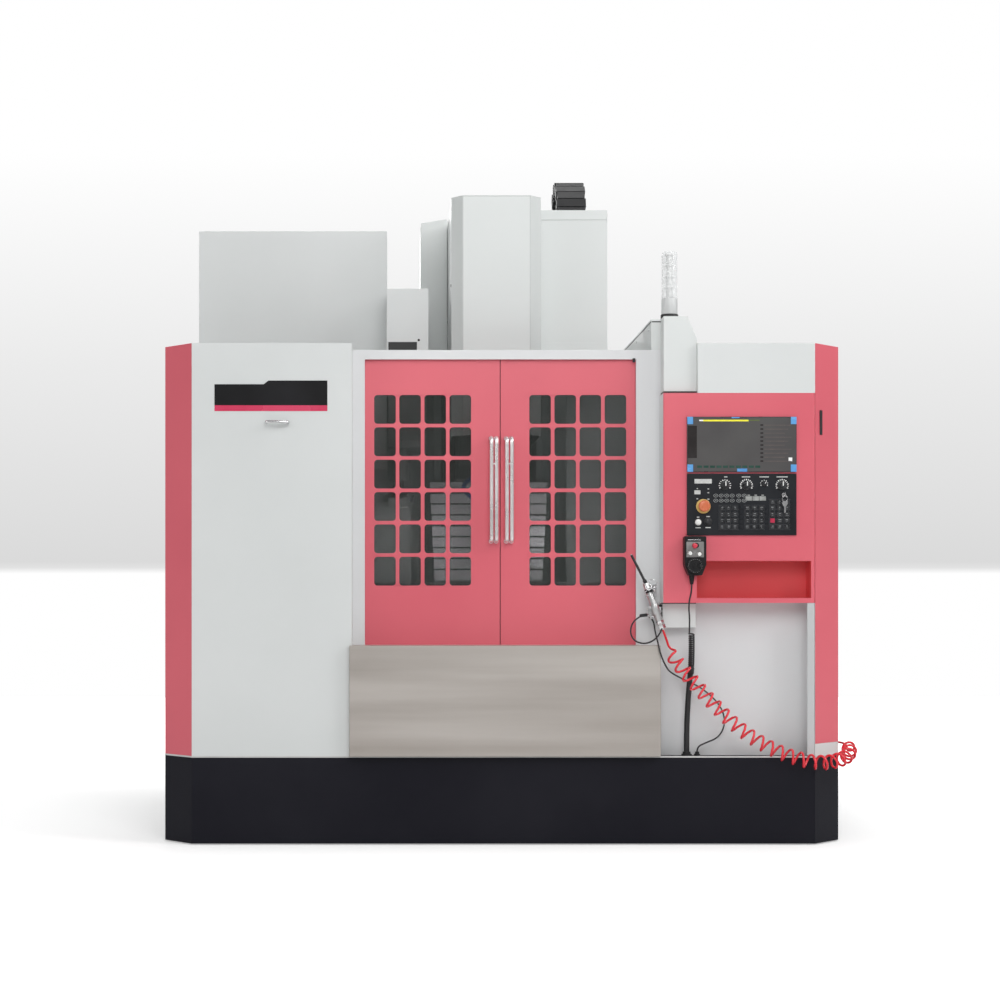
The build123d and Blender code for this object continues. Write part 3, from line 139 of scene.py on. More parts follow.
wall_y, wall_top, wide = 9.0, 14.0, 30.0
wall = [(-wide, wall_y, -0.01), (wide, wall_y, -0.01), (wide, wall_y, wall_top), (-wide, wall_y, wall_top)]
tree, shader, scale, glow, mix = stage_sheet("backdrop", wall, 0.9, "Z", 0.0, wall_top)
white, mist, haze = (1.0, 1.0, 1.0), (0.70, 0.70, 0.70), (0.83, 0.83, 0.83)
sky_shades = shades(tree, [(0.0, white), (0.0849, white), (0.0862, mist), (0.22, haze), (0.36, white)])
wire_up(
    tree,
    (scale, "Result", sky_shades, "Fac"),
    (sky_shades, "Color", shader, "Base Color"),
    (sky_shades, "Color", glow, "Color"),
    (glow, 0, mix, 2),
)
ground = [(-wide, -wide, 0), (wide, -wide, 0), (wide, wall_y, 0), (-wide, wall_y, 0)]
tree, shader, scale, glow, mix = stage_sheet("floor", ground, 0.85, "Y", 0.8, 3.5)
shader.inputs["Base Color"].default_value = (0.86, 0.86, 0.86, 1)
scale.inputs["To Min"].default_value = 0.36
lift = node(tree, "AddShader")
wire_up(tree, (scale, "Result", glow, "Strength"), (shader, 0, lift, 0))
wire_up(tree, (glow, 0, lift, 1), (lift, 0, mix, 2))

# The light is soft and plain: a white surround, five square softboxes round the machine, and two small
# lamps inside the cabin, low in front of the table's place.
world = bpy.data.worlds.new("studio")
bpy.context.scene.world = world
world.use_nodes = True
world_light = world.node_tree.nodes["Background"]
world_light.inputs["Color"].default_value = (1.0, 1.0, 1.0, 1)
world_light.inputs["Strength"].default_value = 0.37


def softbox(name, place, target, width, watts):
    """A square studio light aimed at a point."""
    data = bpy.data.lights.new(name, "AREA")
    data.size = width
    data.energy = watts
    lamp = placed(name, data)
    lamp.location = place
    lamp.rotation_euler = (Vector(target) - Vector(place)).to_track_quat("-Z", "Y").to_euler()
    lamp.visible_camera = False


softbox("front_light", (0.4, -6.8, 4.4), (0, -1, 1.0), 3.1, 145)
softbox("right_light", (5.0, -3.4, 4.6), (1.2, -0.9, 1.9), 2.4, 132)
softbox("left_light", (-5.4, -4.8, 3.5), (-1.0, -0.9, 1.5), 2.6, 55)
softbox("top_light", (0.2, 0.2, 6.5), (0, 0, 0.5), 3.4, 108)
softbox("back_light", (-1.5, 6.5, 4.4), (0, 1, 1.2), 3.0, 90)
softbox("cabin_light_left", (-0.36, -0.72, 1.22), (-0.1, 0.13, 1.2), 0.2, 3.0)
softbox("cabin_light_right", (0.36, -0.72, 1.22), (0.1, 0.13, 1.2), 0.2, 3.0)

# The pendant's lead leaves its gland as a thin black cable, winds into a short curly part and goes
# into a thick black conduit that comes up from the base. Both are soft, matte vinyl over copper.
front = -1.075


def surface(
    name, dark, pale, scale, roughness, bump=0.0, grain=600, stretch=(1, 1, 1), metallic=0.0, **sockets
):
    """A finish that drifts between two shades and two glosses, with a finer grain in its relief."""
    mat = bpy.data.materials.new(name)
    mat.use_nodes = True
    tree = mat.node_tree
    shader = tree.nodes["Principled BSDF"]
    shader.inputs["Metallic"].default_value = metallic
    for socket, value in sockets.items():
        shader.inputs[socket.replace("_", " ")].default_value = value
    place = node(tree, "TexCoord")
    mapping = node(tree, "Mapping", Scale=stretch)
    cloud = node(tree, "TexNoise", Scale=scale, Detail=5.0)
    ramp = shades(tree, [(0.32, dark), (0.68, pale)])
    gloss = node(tree, "MapRange", From_Min=0.3, From_Max=0.7, To_Min=roughness[0], To_Max=roughness[1])
    wire_up(
        tree,
        (place, "Object", mapping, "Vector"),
        (mapping, "Vector", cloud, "Vector"),
        (cloud, "Fac", ramp, "Fac"),
        (ramp, "Color", shader, "Base Color"),
        (cloud, "Fac", gloss, "Value"),
        (gloss, "Result", shader, "Roughness"),
    )
    if bump:
        fine = node(tree, "TexNoise", Scale=grain, Detail=3.0)
        relief = node(tree, "Bump", Strength=bump, Distance=0.001)
        wire_up(
            tree,
            (mapping, "Vector", fine, "Vector"),
            (fine, "Fac", relief, "Height"),
            (relief, "Normal", shader, "Normal"),
        )
    return mat


def set_out(points):
    """Places whose depth is measured from the machine's front face."""
    return [(x, front + y, z) for x, y, z in points]


def smooth_line(*routes):
    """A smooth curve with no thickness, with one spline along each route."""
    data = bpy.data.curves.new("line", "CURVE")
    data.dimensions = "3D"
    data.resolution_u = 8
    for route in routes:
        spline = data.splines.new("NURBS")
        spline.points.add(len(route) - 1)
        for point, place in zip(spline.points, route):
            point.co = (*place, 1.0)
        spline.order_u = 3
        spline.use_endpoint_u = True
    return data


def cable(name, diameter, *routes):
    """A round cord or bar along each route, as one smooth curve object."""
    data = smooth_line(*routes)
    data.bevel_depth = diameter / 2
    data.bevel_resolution = 4
    data.use_fill_caps = True
    return placed(name, data)


def centre_line(data):
    """The points of a curve's middle line."""
    probe = placed("probe", data)
    line = [v.co.copy() for v in bpy.data.meshes.new_from_object(probe).vertices]
    bpy.data.objects.remove(probe)
    return line


def along(points, steps):
    """Even stations on a route's smooth curve: each a place and a direction."""
    line = centre_line(smooth_line(points))
    reach = [0.0]
    for a, b in zip(line, line[1:]):
        reach.append(reach[-1] + (b - a).length)
    stations = []
    k = 0
    for n in range(steps + 1):
        want = reach[-1] * n / steps
        while k < len(line) - 2 and reach[k + 1] < want:
            k += 1
        share = (want - reach[k]) / max(reach[k + 1] - reach[k], 1e-9)
        stations.append((line[k].lerp(line[k + 1], share), (line[k + 1] - line[k]).normalized()))
    return stations


def wound(points, radius, turns, per_turn=16, squeeze=0.0, opening_turns=1.2):
    """Points of a helix round a route, opening from its ends. Squeeze packs the turns to the far end."""
    steps = int(turns * per_turn)
    nearest = 0.7 * math.tau * radius / per_turn
    fine = along(points, 600)
    route_end = fine[-1][0]
    side = Vector((0, 0, 1)).cross(fine[0][1]).normalized()
    frames = []
    for place, direction in fine:
        side = (side - direction * side.dot(direction)).normalized()
        frames.append((place, side, direction.cross(side)))
    coil = []
    angle = 0.0
    for n in range(steps + 1):
        share = n / steps
        at = share + squeeze * share * (1 - share)
        place, right, up = frames[min(600, round(at * 600))]
        grown = min(1.0, min(share, 1 - share) * turns / opening_turns) if opening_turns else 1.0
        swell = grown * grown * (3 - 2 * grown)
        spot = place + (right * math.cos(angle) + up * math.sin(angle)) * radius * swell
        if n in (0, steps) or ((spot - coil[-1]).length > nearest and (spot - route_end).length > nearest):
            coil.append(spot)
        angle += math.tau * turns / steps * max(swell, 0.1)
    return coil


def round_edges(piece, width, sharp, segments=2):
    """Rounds the edges of a piece that turn by more than an angle."""
    edges = piece.modifiers.new("edges", "BEVEL")
    edges.width = width
    edges.segments = segments
    edges.limit_method = "ANGLE"
    edges.angle_limit = math.radians(sharp)
    return edges


def fit(piece, finish, edge=0.0, body="machine", stands_for=None, segments=2):
    """Gives a piece its finish, rounds its edges and lets it ride on a body."""
    piece.data.materials.append(finish)
    if edge:
        round_edges(piece, edge, 35, segments)
        shading = piece.modifiers.new("shading", "WEIGHTED_NORMAL")
        shading.weight = 80
    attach(piece, body)
    if stands_for:
        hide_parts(stands_for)
    return piece


vinyl = surface("black_vinyl", (0.012, 0.012, 0.013), (0.022, 0.022, 0.024), 14, (0.42, 0.6), 0.15, 900)
lead_width, conduit_width = 0.006, 0.021
lead_route = set_out(
    [
        (0.712, -0.024, 0.990),
        (0.712, -0.024, 0.965),
        (0.703, -0.024, 0.932),
        (0.701, -0.023, 0.896),
        (0.7045, -0.0215, 0.862),
        (0.7040, -0.0205, 0.836),
        (0.7038, -0.0200, 0.8075),
    ]
)
curl_route = set_out([(0.713, -0.012, 0.802), (0.717, 0.004, 0.740), (0.717, 0.024, 0.676)])
curl = wound(curl_route, 0.0095, 16, 14, opening_turns=0)
pendant_lead = cable("pendant_lead", lead_width, lead_route + curl)
fit(pendant_lead, vinyl, stands_for="pendant_curl")
conduit_route = set_out(
    [(0.704, 0.050, 0.347), (0.704, 0.050, 0.420), (0.708, 0.058, 0.500), (0.713, 0.050, 0.600)]
)
conduit_route.append(curl_route[-1])
conduit = cable("pendant_conduit", conduit_width, conduit_route)
fit(conduit, vinyl, stands_for="pendant_cord")


def skin(name, hulls, foot=True, top=True, smooth=False):
    """One piece of hulls, each a row of rings of points, closed over at its foot and its top."""
    verts, faces = [], []
    for rings in hulls:
        count = len(rings[0])
        first = len(verts)
        last = first + count * (len(rings) - 1)
        for k in range(first, last, count):
            for n in range(count):
                m = (n + 1) % count
                faces.append((k + n, k + m, k + m + count, k + n + count))
        if foot:
            faces.append(tuple(reversed(range(first, first + count))))
        if top:
            faces.append(tuple(range(last, last + count)))
        verts += [spot for ring in rings for spot in ring]
    mesh = bpy.data.meshes.new(name)
    mesh.from_pydata(verts, [], faces)
    solid = bmesh.new()
    solid.from_mesh(mesh)
    if smooth:
        bmesh.ops.remove_doubles(solid, verts=solid.verts, dist=2e-5)
    bmesh.ops.recalc_face_normals(solid, faces=solid.faces)
    solid.to_mesh(mesh)
    solid.free()
    if smooth:
        mesh.shade_smooth()
    return placed(name, mesh)


def turned(start, direction, profile, steps):
    """Rings of points about an axis, one for each (radius, distance) of a profile."""
    axis = Vector(direction).normalized()
    right = axis.orthogonal().normalized()
    up = axis.cross(right)
    angles = [math.tau * n / steps for n in range(steps)]
    spokes = [right * math.cos(angle) + up * math.sin(angle) for angle in angles]
    return [[Vector(start) + axis * reach + spoke * radius for spoke in spokes] for radius, reach in profile]


def lathe(name, profile, start, direction, steps=32):
    """A turned piece: its profile spun about an axis from a start place."""
    return skin(name, [turned(start, direction, profile, steps)], smooth=True)


ferrule_profile = [(0.0115, 0.030), (0.013, 0.024), (0.013, 0.004), (0.010, -0.002), (0.007, -0.004)]
ferrule = lathe("conduit_ferrule", ferrule_profile, curl_route[-1], (-0.004, 0.026, -0.076))
fit(ferrule, vinyl)

# The air hose is a coil of red polyurethane tube with a short straight tail at each end: one screws
# into the blow gun, the other into the air inlet on the right side, low behind the corner.
red_tube = surface(
    "red_tube", (0.74, 0.016, 0.030), (0.86, 0.035, 0.055), 20, (0.18, 0.32), Coat_Weight=0.4
)
air_width = 0.009
air_start = set_out([(0.610, 0.030, 0.818), (0.6196, 0.030, 0.7917), (0.6262, 0.0297, 0.7735)])
air_coil_route = set_out(
    [
        (0.630, 0.029, 0.760),
        (0.644, 0.018, 0.722),
        (0.668, 0.001, 0.684),
        (0.725, -0.024, 0.612),
        (0.800, -0.036, 0.528),
        (0.885, -0.042, 0.446),
        (0.975, -0.044, 0.386),
        (1.075, -0.048, 0.340),
        (1.195, -0.058, 0.312),
        (1.306, 0.010, 0.328),
        (1.345, 0.100, 0.354),
        (1.345, 0.168, 0.364),
    ]
)
air_end = set_out(
    [
        (1.345, 0.184, 0.3665),
        (1.345, 0.204, 0.3690),
        (1.340, 0.227, 0.3710),
        (1.325, 0.240, 0.372),
        (1.300, 0.240, 0.372),
    ]
)
air_turns = wound(air_coil_route, 0.0255, 25, 16, 0.06)
air_hose = cable("air_hose", air_width, air_start + air_turns + air_end)
fit(air_hose, red_tube, stands_for="air_hose_coil")

# The wash hose is a thin black air line. It leaves the fitting under the gun, makes a loop to the left,
# drops in front of the apron's corner and goes into the base by a small gland.
wash_width = 0.006
wash_route = set_out(
    [
        (0.604, 0.0135, 0.822),
        (0.594, 0.012, 0.792),
        (0.548, 0.012, 0.762),
        (0.500, 0.015, 0.772),
        (0.483, 0.022, 0.808),
        (0.496, 0.031, 0.850),
        (0.540, 0.044, 0.877),
        (0.577, 0.050, 0.858),
        (0.580, 0.020, 0.806),
        (0.583, -0.038, 0.766),
        (0.592, -0.047, 0.722),
        (0.612, -0.020, 0.684),
        (0.640, 0.052, 0.654),
        (0.700, 0.080, 0.624),
        (0.770, 0.079, 0.592),
        (0.838, 0.073, 0.528),
        (0.858, 0.070, 0.462),
        (0.832, 0.063, 0.404),
        (0.772, 0.052, 0.382),
        (0.744, 0.050, 0.368),
        (0.744, 0.050, 0.347),
    ]
)
wash_hose = cable("wash_hose_line", wash_width, wash_route)
fit(wash_hose, vinyl, stands_for="wash_hose")


def drawn_length(piece):
    """The length of a cord's centre line."""
    bare = piece.data.copy()
    bare.bevel_depth = 0.0
    line = centre_line(bare)
    return sum((b - a).length for a, b in zip(line, line[1:]))


for cord, start, width, far_end, stiffness, lay, fittings in (
    (pendant_lead, lead_route[0], lead_width, "connector", "medium", "hanging", [ferrule]),
    (conduit, conduit_route[0], conduit_width, "connector", "stiff", "hanging", [ferrule]),
    (air_hose, air_start[0], air_width, "object", "stiff", "hanging", []),
    (wash_hose, wash_route[0], wash_width, "object", "medium", "loose", []),
):
    drawn_length(cord)
    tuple(start)
    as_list(fittings)

# The base is a skirt of folded sheet steel round the bed, with the coolant tank behind it. It is powder
# coated near black, stands just clear of the floor, and a pale rubber lip seals the panels above it.


def dress(finish, edge, *names):
    """Gives machined or folded pieces of the frame their finish, with sharp edges slightly rounded."""
    for name in names:
        piece = nodes[name]
        for material_slot in piece.material_slots:
            material_slot.material = finish
        joined = piece.modifiers.new("joined", "WELD")
        joined.merge_threshold = 0.00001
        if edge:
            rounding = round_edges(piece, edge, 38)
            rounding.use_clamp_overlap = False
            rounding.harden_normals = True


def upright(name, outline, z0, z1):
    """A prism over an outline of (x, y) points, between two heights."""
    return skin(name, [[[(x, y, z) for x, y in outline] for z in (z0, z1)]])


def blocks(name, spans):
    """Plain blocks, each between two corners, as one piece."""
    hulls = []
    for x0, x1, y0, y1, z0, z1 in spans:
        hulls.append([[(x0, y0, z), (x1, y0, z), (x1, y1, z), (x0, y1, z)] for z in (z0, z1)])
    return skin(name, hulls)


skirt_dark, skirt_pale = (0.0085, 0.0085, 0.0135), (0.0135, 0.0135, 0.019)
skirt_paint = surface(
    "base_powder_coat", skirt_dark, skirt_pale, 1.6, (0.4, 0.55), 0.2, 700, Specular_IOR_Level=0.12
)
dress(skirt_paint, 0.0, "base_skirt")
half_width, corner, back_face, deck = 1.3, 0.115, 0.625, 0.333
lip_out, lip_in = 0.0012, 0.0025
outer = [
    (-half_width - lip_out, front + corner),
    (-half_width + corner - lip_out / 2, front - lip_out),
    (half_width - corner + lip_out / 2, front - lip_out),
    (half_width + lip_out, front + corner),
    (half_width + lip_out, back_face),
]
inner = [(x - math.copysign(lip_in, x), y + lip_in) for x, y in reversed(outer)]
lip_rubber = surface("pale_lip", (0.50, 0.50, 0.50), (0.62, 0.62, 0.61), 8, (0.5, 0.65), 0.1)
fit(upright("base_lip", outer + inner, deck - 0.001, deck + 0.005), lip_rubber)

# The levelling feet are turned steel pads on threaded studs, screwed up into the bed with a lock nut.
# They carry the machine and keep its skirt just clear of the floor.
foot_steel = surface(
    "foot_steel", (0.30, 0.30, 0.31), (0.45, 0.45, 0.46), 30, (0.3, 0.45), 0.1, metallic=0.9
)
dress(foot_steel, 0.0008, "levelling_feet")

# The coolant pump stands on the tank behind: a black painted motor with a ribbed fan cowl over its
# shaft, bolted down by its flange.
motor_black = surface("motor_black", (0.014, 0.014, 0.015), (0.024, 0.024, 0.026), 9, (0.3, 0.45), 0.15, 800)
dress(motor_black, 0.002, "coolant_pump")


def ribs(name, spot, count, pitch, root, crest, steps):
    """A turned cowl with a rib at every pitch, from a first height up."""
    rib = ((root, 0.0), (crest, 0.002), (crest, 0.005), (root, 0.007))
    profile = [(radius, n * pitch + rise) for n in range(count) for radius, rise in rib]
    return lathe(name, profile, spot, (0, 0, 1), steps)


pump_spot = (-0.8, (back_face + 1.075) / 2, 0.372)
fit(ribs("pump_ribs", pump_spot, 9, 0.016, 0.0555, 0.0590, 48), motor_black)

# The bed and the column are grey iron castings with deep pockets, painted, with their ways ground
# bright.
casting_paint = surface("casting_paint", (0.26, 0.28, 0.28), (0.36, 0.38, 0.38), 3, (0.4, 0.55), 0.35, 260)
dress(casting_paint, 0.003, "bed_casting", "column")
ground_steel = surface(
    "ground_steel", (0.42, 0.42, 0.43), (0.56, 0.56, 0.57), 5, (0.16, 0.3), 0.06, 500, (12, 12, 1), 1.0
)
dress(ground_steel, 0.0006, "way_rails")

# The ball screws are rolled steel bars with a 12 mm lead, ground bright, between plain journals. Their
# servo motors are black, with square cable plugs.
lead_of_screw = 0.012
for screw_axis in "XYZ":
    screw_name = screw_axis.lower()
    thread = surface(
        f"{screw_name}_thread", (0.38, 0.38, 0.39), (0.52, 0.52, 0.53), 6, (0.2, 0.35), metallic=1.0
    )
    tree = thread.node_tree
    place = node(tree, "TexCoord")
    wave = node(tree, "TexWave", Scale=0.314 / lead_of_screw, Distortion=0.0)
    wave.bands_direction = screw_axis
    relief = node(tree, "Bump", Strength=0.7, Distance=0.003)
    wire_up(
        tree,
        (place, "Object", wave, "Vector"),
        (wave, "Fac", relief, "Height"),
        (relief, "Normal", tree.nodes["Principled BSDF"], "Normal"),
    )
    dress(thread, 0.0006, f"{screw_name}_screw")
dress(motor_black, 0.002, "axis_motors")
z_motor_top = 2.470
plugs = [
    (-0.02, 0.02, front + 1.135, front + 1.156, z_motor_top - 0.07, z_motor_top - 0.03),
    (-0.02, 0.02, front + 1.135, front + 1.156, z_motor_top - 0.14, z_motor_top - 0.10),
    (-0.02, 0.02, front + 1.255, front + 1.295, 0.633, 0.655),
]
fit(blocks("motor_plugs", plugs), motor_black, 0.003)

# The enclosure is folded sheet steel, 3 mm thick, in a light grey satin powder coat: front panels, the
# wall with the door opening, side panels with louvres and panels behind. A flat strip down the right edge
# of the lower bay is coloured a darker grey as painted shade, and a small black catch stands over the
# doors' right corner.


def powder_coat(name, dark, pale, drift, gloss=(0.34, 0.46), coat=0.0):
    """A satin powder coat on sheet steel, with its fine orange-peel grain."""
    return surface(name, dark, pale, drift, gloss, 0.10, 420, Coat_Weight=coat)


panel_grey = powder_coat("panel_grey", (0.640, 0.665, 0.660), (0.690, 0.712, 0.708), 1.2, coat=0.08)
frame_grey = powder_coat("frame_grey", (0.665, 0.675, 0.685), (0.715, 0.725, 0.735), 1.2)
# A darker grey of the same coat is painted shade, for the strip at the lower bay's edge.
painted_shade_grey = powder_coat("painted_shade_grey", (0.485, 0.500, 0.508), (0.530, 0.545, 0.553), 1.2, (0.4, 0.5))
dress(panel_grey, 0.0015, "front_panels")
dress(panel_grey, 0.001, "side_and_rear_panels")
dress(frame_grey, 0.001, "door_frame")
# The strip down the right edge of the lower bay lies flush at the front and is coloured in painted shade.
bay_right, bay_top = 1.185, 0.9195
bay_edge = (bay_right - 0.030, bay_right + 0.0005, front + 0.0005, front + 0.0035, 0.340, bay_top)
fit(blocks("bay_flange", [bay_edge]), painted_shade_grey, 0.0006)
dull_black = surface("dull_black", (0.010, 0.010, 0.011), (0.018, 0.018, 0.020), 20, (0.4, 0.55), 0.25, 900)


def in_black(piece, edge=0.0, body="machine"):
    """Small pieces of black rubber or plastic share one finish."""
    return fit(piece, dull_black, edge, body)


in_black(blocks("header_catch", [(0.503, 0.513, front + 0.092, front + 0.096, 1.846, 1.862)]), 0.0012)

# The covers over the front corners are folded strips of the same sheet in a pink satin powder coat. The
# right one has a black door handle slot, and both stop above the base.
panel_pink = powder_coat("panel_pink", (0.665, 0.112, 0.150), (0.735, 0.134, 0.172), 1.1, (0.32, 0.44), 0.10)
dress(panel_pink, 0.0015, "corner_covers")
slot_low, slot_high, slot_x = 1.561, 1.655, 1.212
slot_y = front + slot_x - (half_width - corner)
half_slot, proud = 0.0055, 0.004 * math.sqrt(0.5)
slot_outline = [
    (slot_x - half_slot, slot_y - half_slot - 0.001),
    (slot_x + half_slot, slot_y + half_slot - 0.001),
    (slot_x + half_slot + proud, slot_y + half_slot - proud),
    (slot_x - half_slot + proud, slot_y - half_slot - proud),
]
in_black(upright("corner_handle", slot_outline, slot_low, slot_high), 0.0015)

# The plate high on the left panel is a thin printed sheet, black with a pink band along its foot. Its
# left part steps down. It carries no words.
plate_left, plate_step, plate_right = -1.098, -0.905, -0.669
plate_low, plate_high, plate_drop, band = 1.649, 1.765, 0.014, 0.022
plate_out = front - 0.0012


def front_prism(name, outline, y0, y1):
    """A prism over an outline of (x, z) points, between two depths."""
    return skin(name, [[[(x, y, z) for x, z in outline] for y in (y0, y1)]])


plate_outline = [
    (plate_left, plate_low + band),
    (plate_right, plate_low + band),
    (plate_right, plate_high),
    (plate_step + 0.012, plate_high),
    (plate_step - 0.006, plate_high - plate_drop),
    (plate_left, plate_high - plate_drop),
]
ink_dark, ink_pale = (0.008, 0.008, 0.009), (0.014, 0.014, 0.016)
plate_black = surface(
    "plate_black", ink_dark, ink_pale, 6, (0.4, 0.5), 0.03, 900, Specular_IOR_Level=0.15
)
fit(front_prism("panel_plate", plate_outline, plate_out, front), plate_black)
band_pink = surface("band_pink", (0.60, 0.035, 0.10), (0.68, 0.05, 0.13), 6, (0.22, 0.32), 0.03, 900)
band_block = (plate_left, plate_right, plate_out, front, plate_low, plate_low + band)
fit(blocks("panel_plate_band", [band_block]), band_pink)

# Pan-head screws of bright steel hold the rear panels and the side panels along their edges. Where the
# electrical cabinet stands before the rear panels, only the lowest row is there.


def screw_heads(name, places, direction, radius, rise=0.0022):
    """Domed screw heads with a sunk socket, all in one piece."""
    dome = ((1.0, 0.0), (0.98, 0.5), (0.72, 0.92), (0.45, 1.0), (0.42, 0.55))
    profile = [(radius * wide, rise * tall) for wide, tall in dome]
    return skin(name, [turned(spot, direction, profile, 18) for spot in places], foot=False)


bright_screw = surface("bright_screw", (0.50, 0.50, 0.50), (0.62, 0.62, 0.62), 60, (0.2, 0.32), metallic=1.0)
side_face, panel_screw = 1.265, 0.006
rear_screws = []
for x in (-1.235, -1.0, -0.66, -0.33, 0.33, 0.66, 1.0, 1.235):
    cabinet_hides = 0.34 < x < 1.14
    rear_screws += [(x, back_face, z) for z in (0.36, 0.75, 1.15, 1.5, 1.87) if not cabinet_hides or z < 0.4]
rear_heads = screw_heads("rear_panel_screws", rear_screws, (0, 1, 0), panel_screw)
fit(rear_heads, bright_screw)
for side, side_name in ((-1, "left"), (1, "right")):
    spots = [(side * side_face, -0.85 + n * 0.28, z) for n in range(6) for z in (0.365, 1.88)]
    heads = screw_heads(f"{side_name}_panel_screws", spots, (side, 0, 0), panel_screw)
    fit(heads, bright_screw)

# The small pull on the left panel, the gun's hook and the air inlet are polished steel, and the two
# glands on the base are black plastic nuts.
polished = surface("polished_steel", (0.66, 0.66, 0.67), (0.80, 0.80, 0.81), 40, (0.08, 0.16), metallic=1.0)
dress(polished, 0.0006, "pull_hook_and_fittings")


def in_steel(piece, edge=0.0, body="machine"):
    """Small bright fittings share the polished steel."""
    return fit(piece, polished, edge, body)


for gland_name, gland_x, foot_radius, neck_radius, flats in (
    ("conduit_gland", 0.704, 0.0190, 0.0138, 8),
    ("hose_gland", 0.744, 0.0110, 0.0068, 6),
):
    nut = [
        (foot_radius * 1.06, -0.0002),
        (foot_radius * 1.06, 0.0082),
        (neck_radius + 0.0012, 0.0105),
        (neck_radius + 0.0012, 0.0172),
        (0.003, 0.0174),
    ]
    in_black(lathe(gland_name, nut, (gland_x, front + 0.050, deck), (0, 0, 1), flats * 5), 0.0006)

# The apron under the doors is a loose folded tray of brushed stainless steel that throws chips and
# coolant back into the base. It hooks over the lower edge of the door opening.
steel_dark, steel_pale, brushed_along = (0.435, 0.395, 0.360), (0.560, 0.525, 0.490), (0.35, 1, 6)
stainless = surface(
    "brushed_stainless", steel_dark, steel_pale, 1.7, (0.30, 0.46), 0.10, 90, brushed_along, 0.75
)
dress(stainless, 0.002, "front_apron")

# The two sliding doors are folded panels in the pink coat, with a grid of rounded windows. Behind each
# grid one sheet of smoked polycarbonate is held by a rubber seal.
dress(panel_pink, 0.0012, "left_door", "right_door")
smoked = surface("smoked_glass", (0.014, 0.018, 0.016), (0.022, 0.026, 0.023), 4, (0.04, 0.08), Alpha=0.62)
dress(smoked, 0.0, "left_window", "right_window")

# Each handle is a pair of polished steel bars bent back to the door at both ends, with a pin between
# them, screwed through the door from inside. A thin black rubber bead closes the seam of the doors.
# The bars' faint pink tint is a painted reflection of the pink doors.
satin_bar_pink_reflection = surface("satin_bar_pink_reflection", (0.80, 0.765, 0.765), (0.90, 0.865, 0.865), 5, (0.24, 0.34), metallic=0.8)
door_face, door_centre = front + 0.112, -0.006
bar_width, bar_apart, bar_reach = 0.015, 0.0097, 0.038
handle_low, handle_high = 1.150, 1.563
low_foot, high_foot = handle_low + 0.008, handle_high - 0.008
bar_bends = [
    (-0.001, low_foot),
    (0.022, handle_low + 0.006),
    (bar_reach, handle_low + 0.014),
    (bar_reach, handle_low + 0.050),
    (bar_reach, 1.356),
    (bar_reach, handle_high - 0.050),
    (bar_reach, handle_high - 0.014),
    (0.022, handle_high - 0.006),
    (-0.001, high_foot),
]
for side, side_name in ((-1, "left"), (1, "right")):
    door = f"{side_name}_door"
    middle = door_centre + side * 0.0295 + 0.004
    bars = (middle - bar_apart, middle + bar_apart)
    routes = [[(x, door_face - out, z) for out, z in bar_bends] for x in bars]
    pair = cable(f"{door}_handle", bar_width, *routes)
    pair.data.bevel_resolution = 8
    fit(pair, satin_bar_pink_reflection, body=door, stands_for=f"{side_name}_handle")
    pin_spot = (bars[0], door_face - bar_reach, 1.454)
    pin = lathe(f"{side_name}_handle_pin", [(0.0030, 0.0), (0.0030, 0.0194)], pin_spot, (1, 0, 0), 20)
    fit(pin, satin_bar_pink_reflection, body=door)
    feet = [(x, door_face, z) for x in bars for z in (low_foot, high_foot)]
    in_steel(screw_heads(f"{side_name}_handle_feet", feet, (0, -1, 0), 0.0094), body=door)
seam = (door_centre - 0.0009, door_centre + 0.0002, door_face - 0.0008, door_face + 0.036, 0.752, 1.860)
in_black(blocks("door_seam", [seam]), body="left_door")

# The cabin is lined with grey painted sheet, and the saddle and table run on its floor: the saddle is a
# painted casting, the table is ground iron with five T-slots.
liner_paint = surface("liner_paint", (0.42, 0.44, 0.44), (0.50, 0.52, 0.52), 2, (0.35, 0.5), 0.1, 420)
dress(liner_paint, 0.001, "cabin_walls")
dress(casting_paint, 0.002, "saddle")
table_iron = surface(
    "table_iron", (0.36, 0.36, 0.36), (0.46, 0.46, 0.46), 4, (0.30, 0.42), 0.03, 260, (1, 3, 3), 0.6
)
dress(table_iron, 0.001, "work_table")

# Telescopic covers of thin stainless sheet keep chips off the ways. The leaves in front of the column
# slide over each other as the head moves, each with a rubber wiper along its lower edge, and two stacks
# over the Y ways follow the saddle.


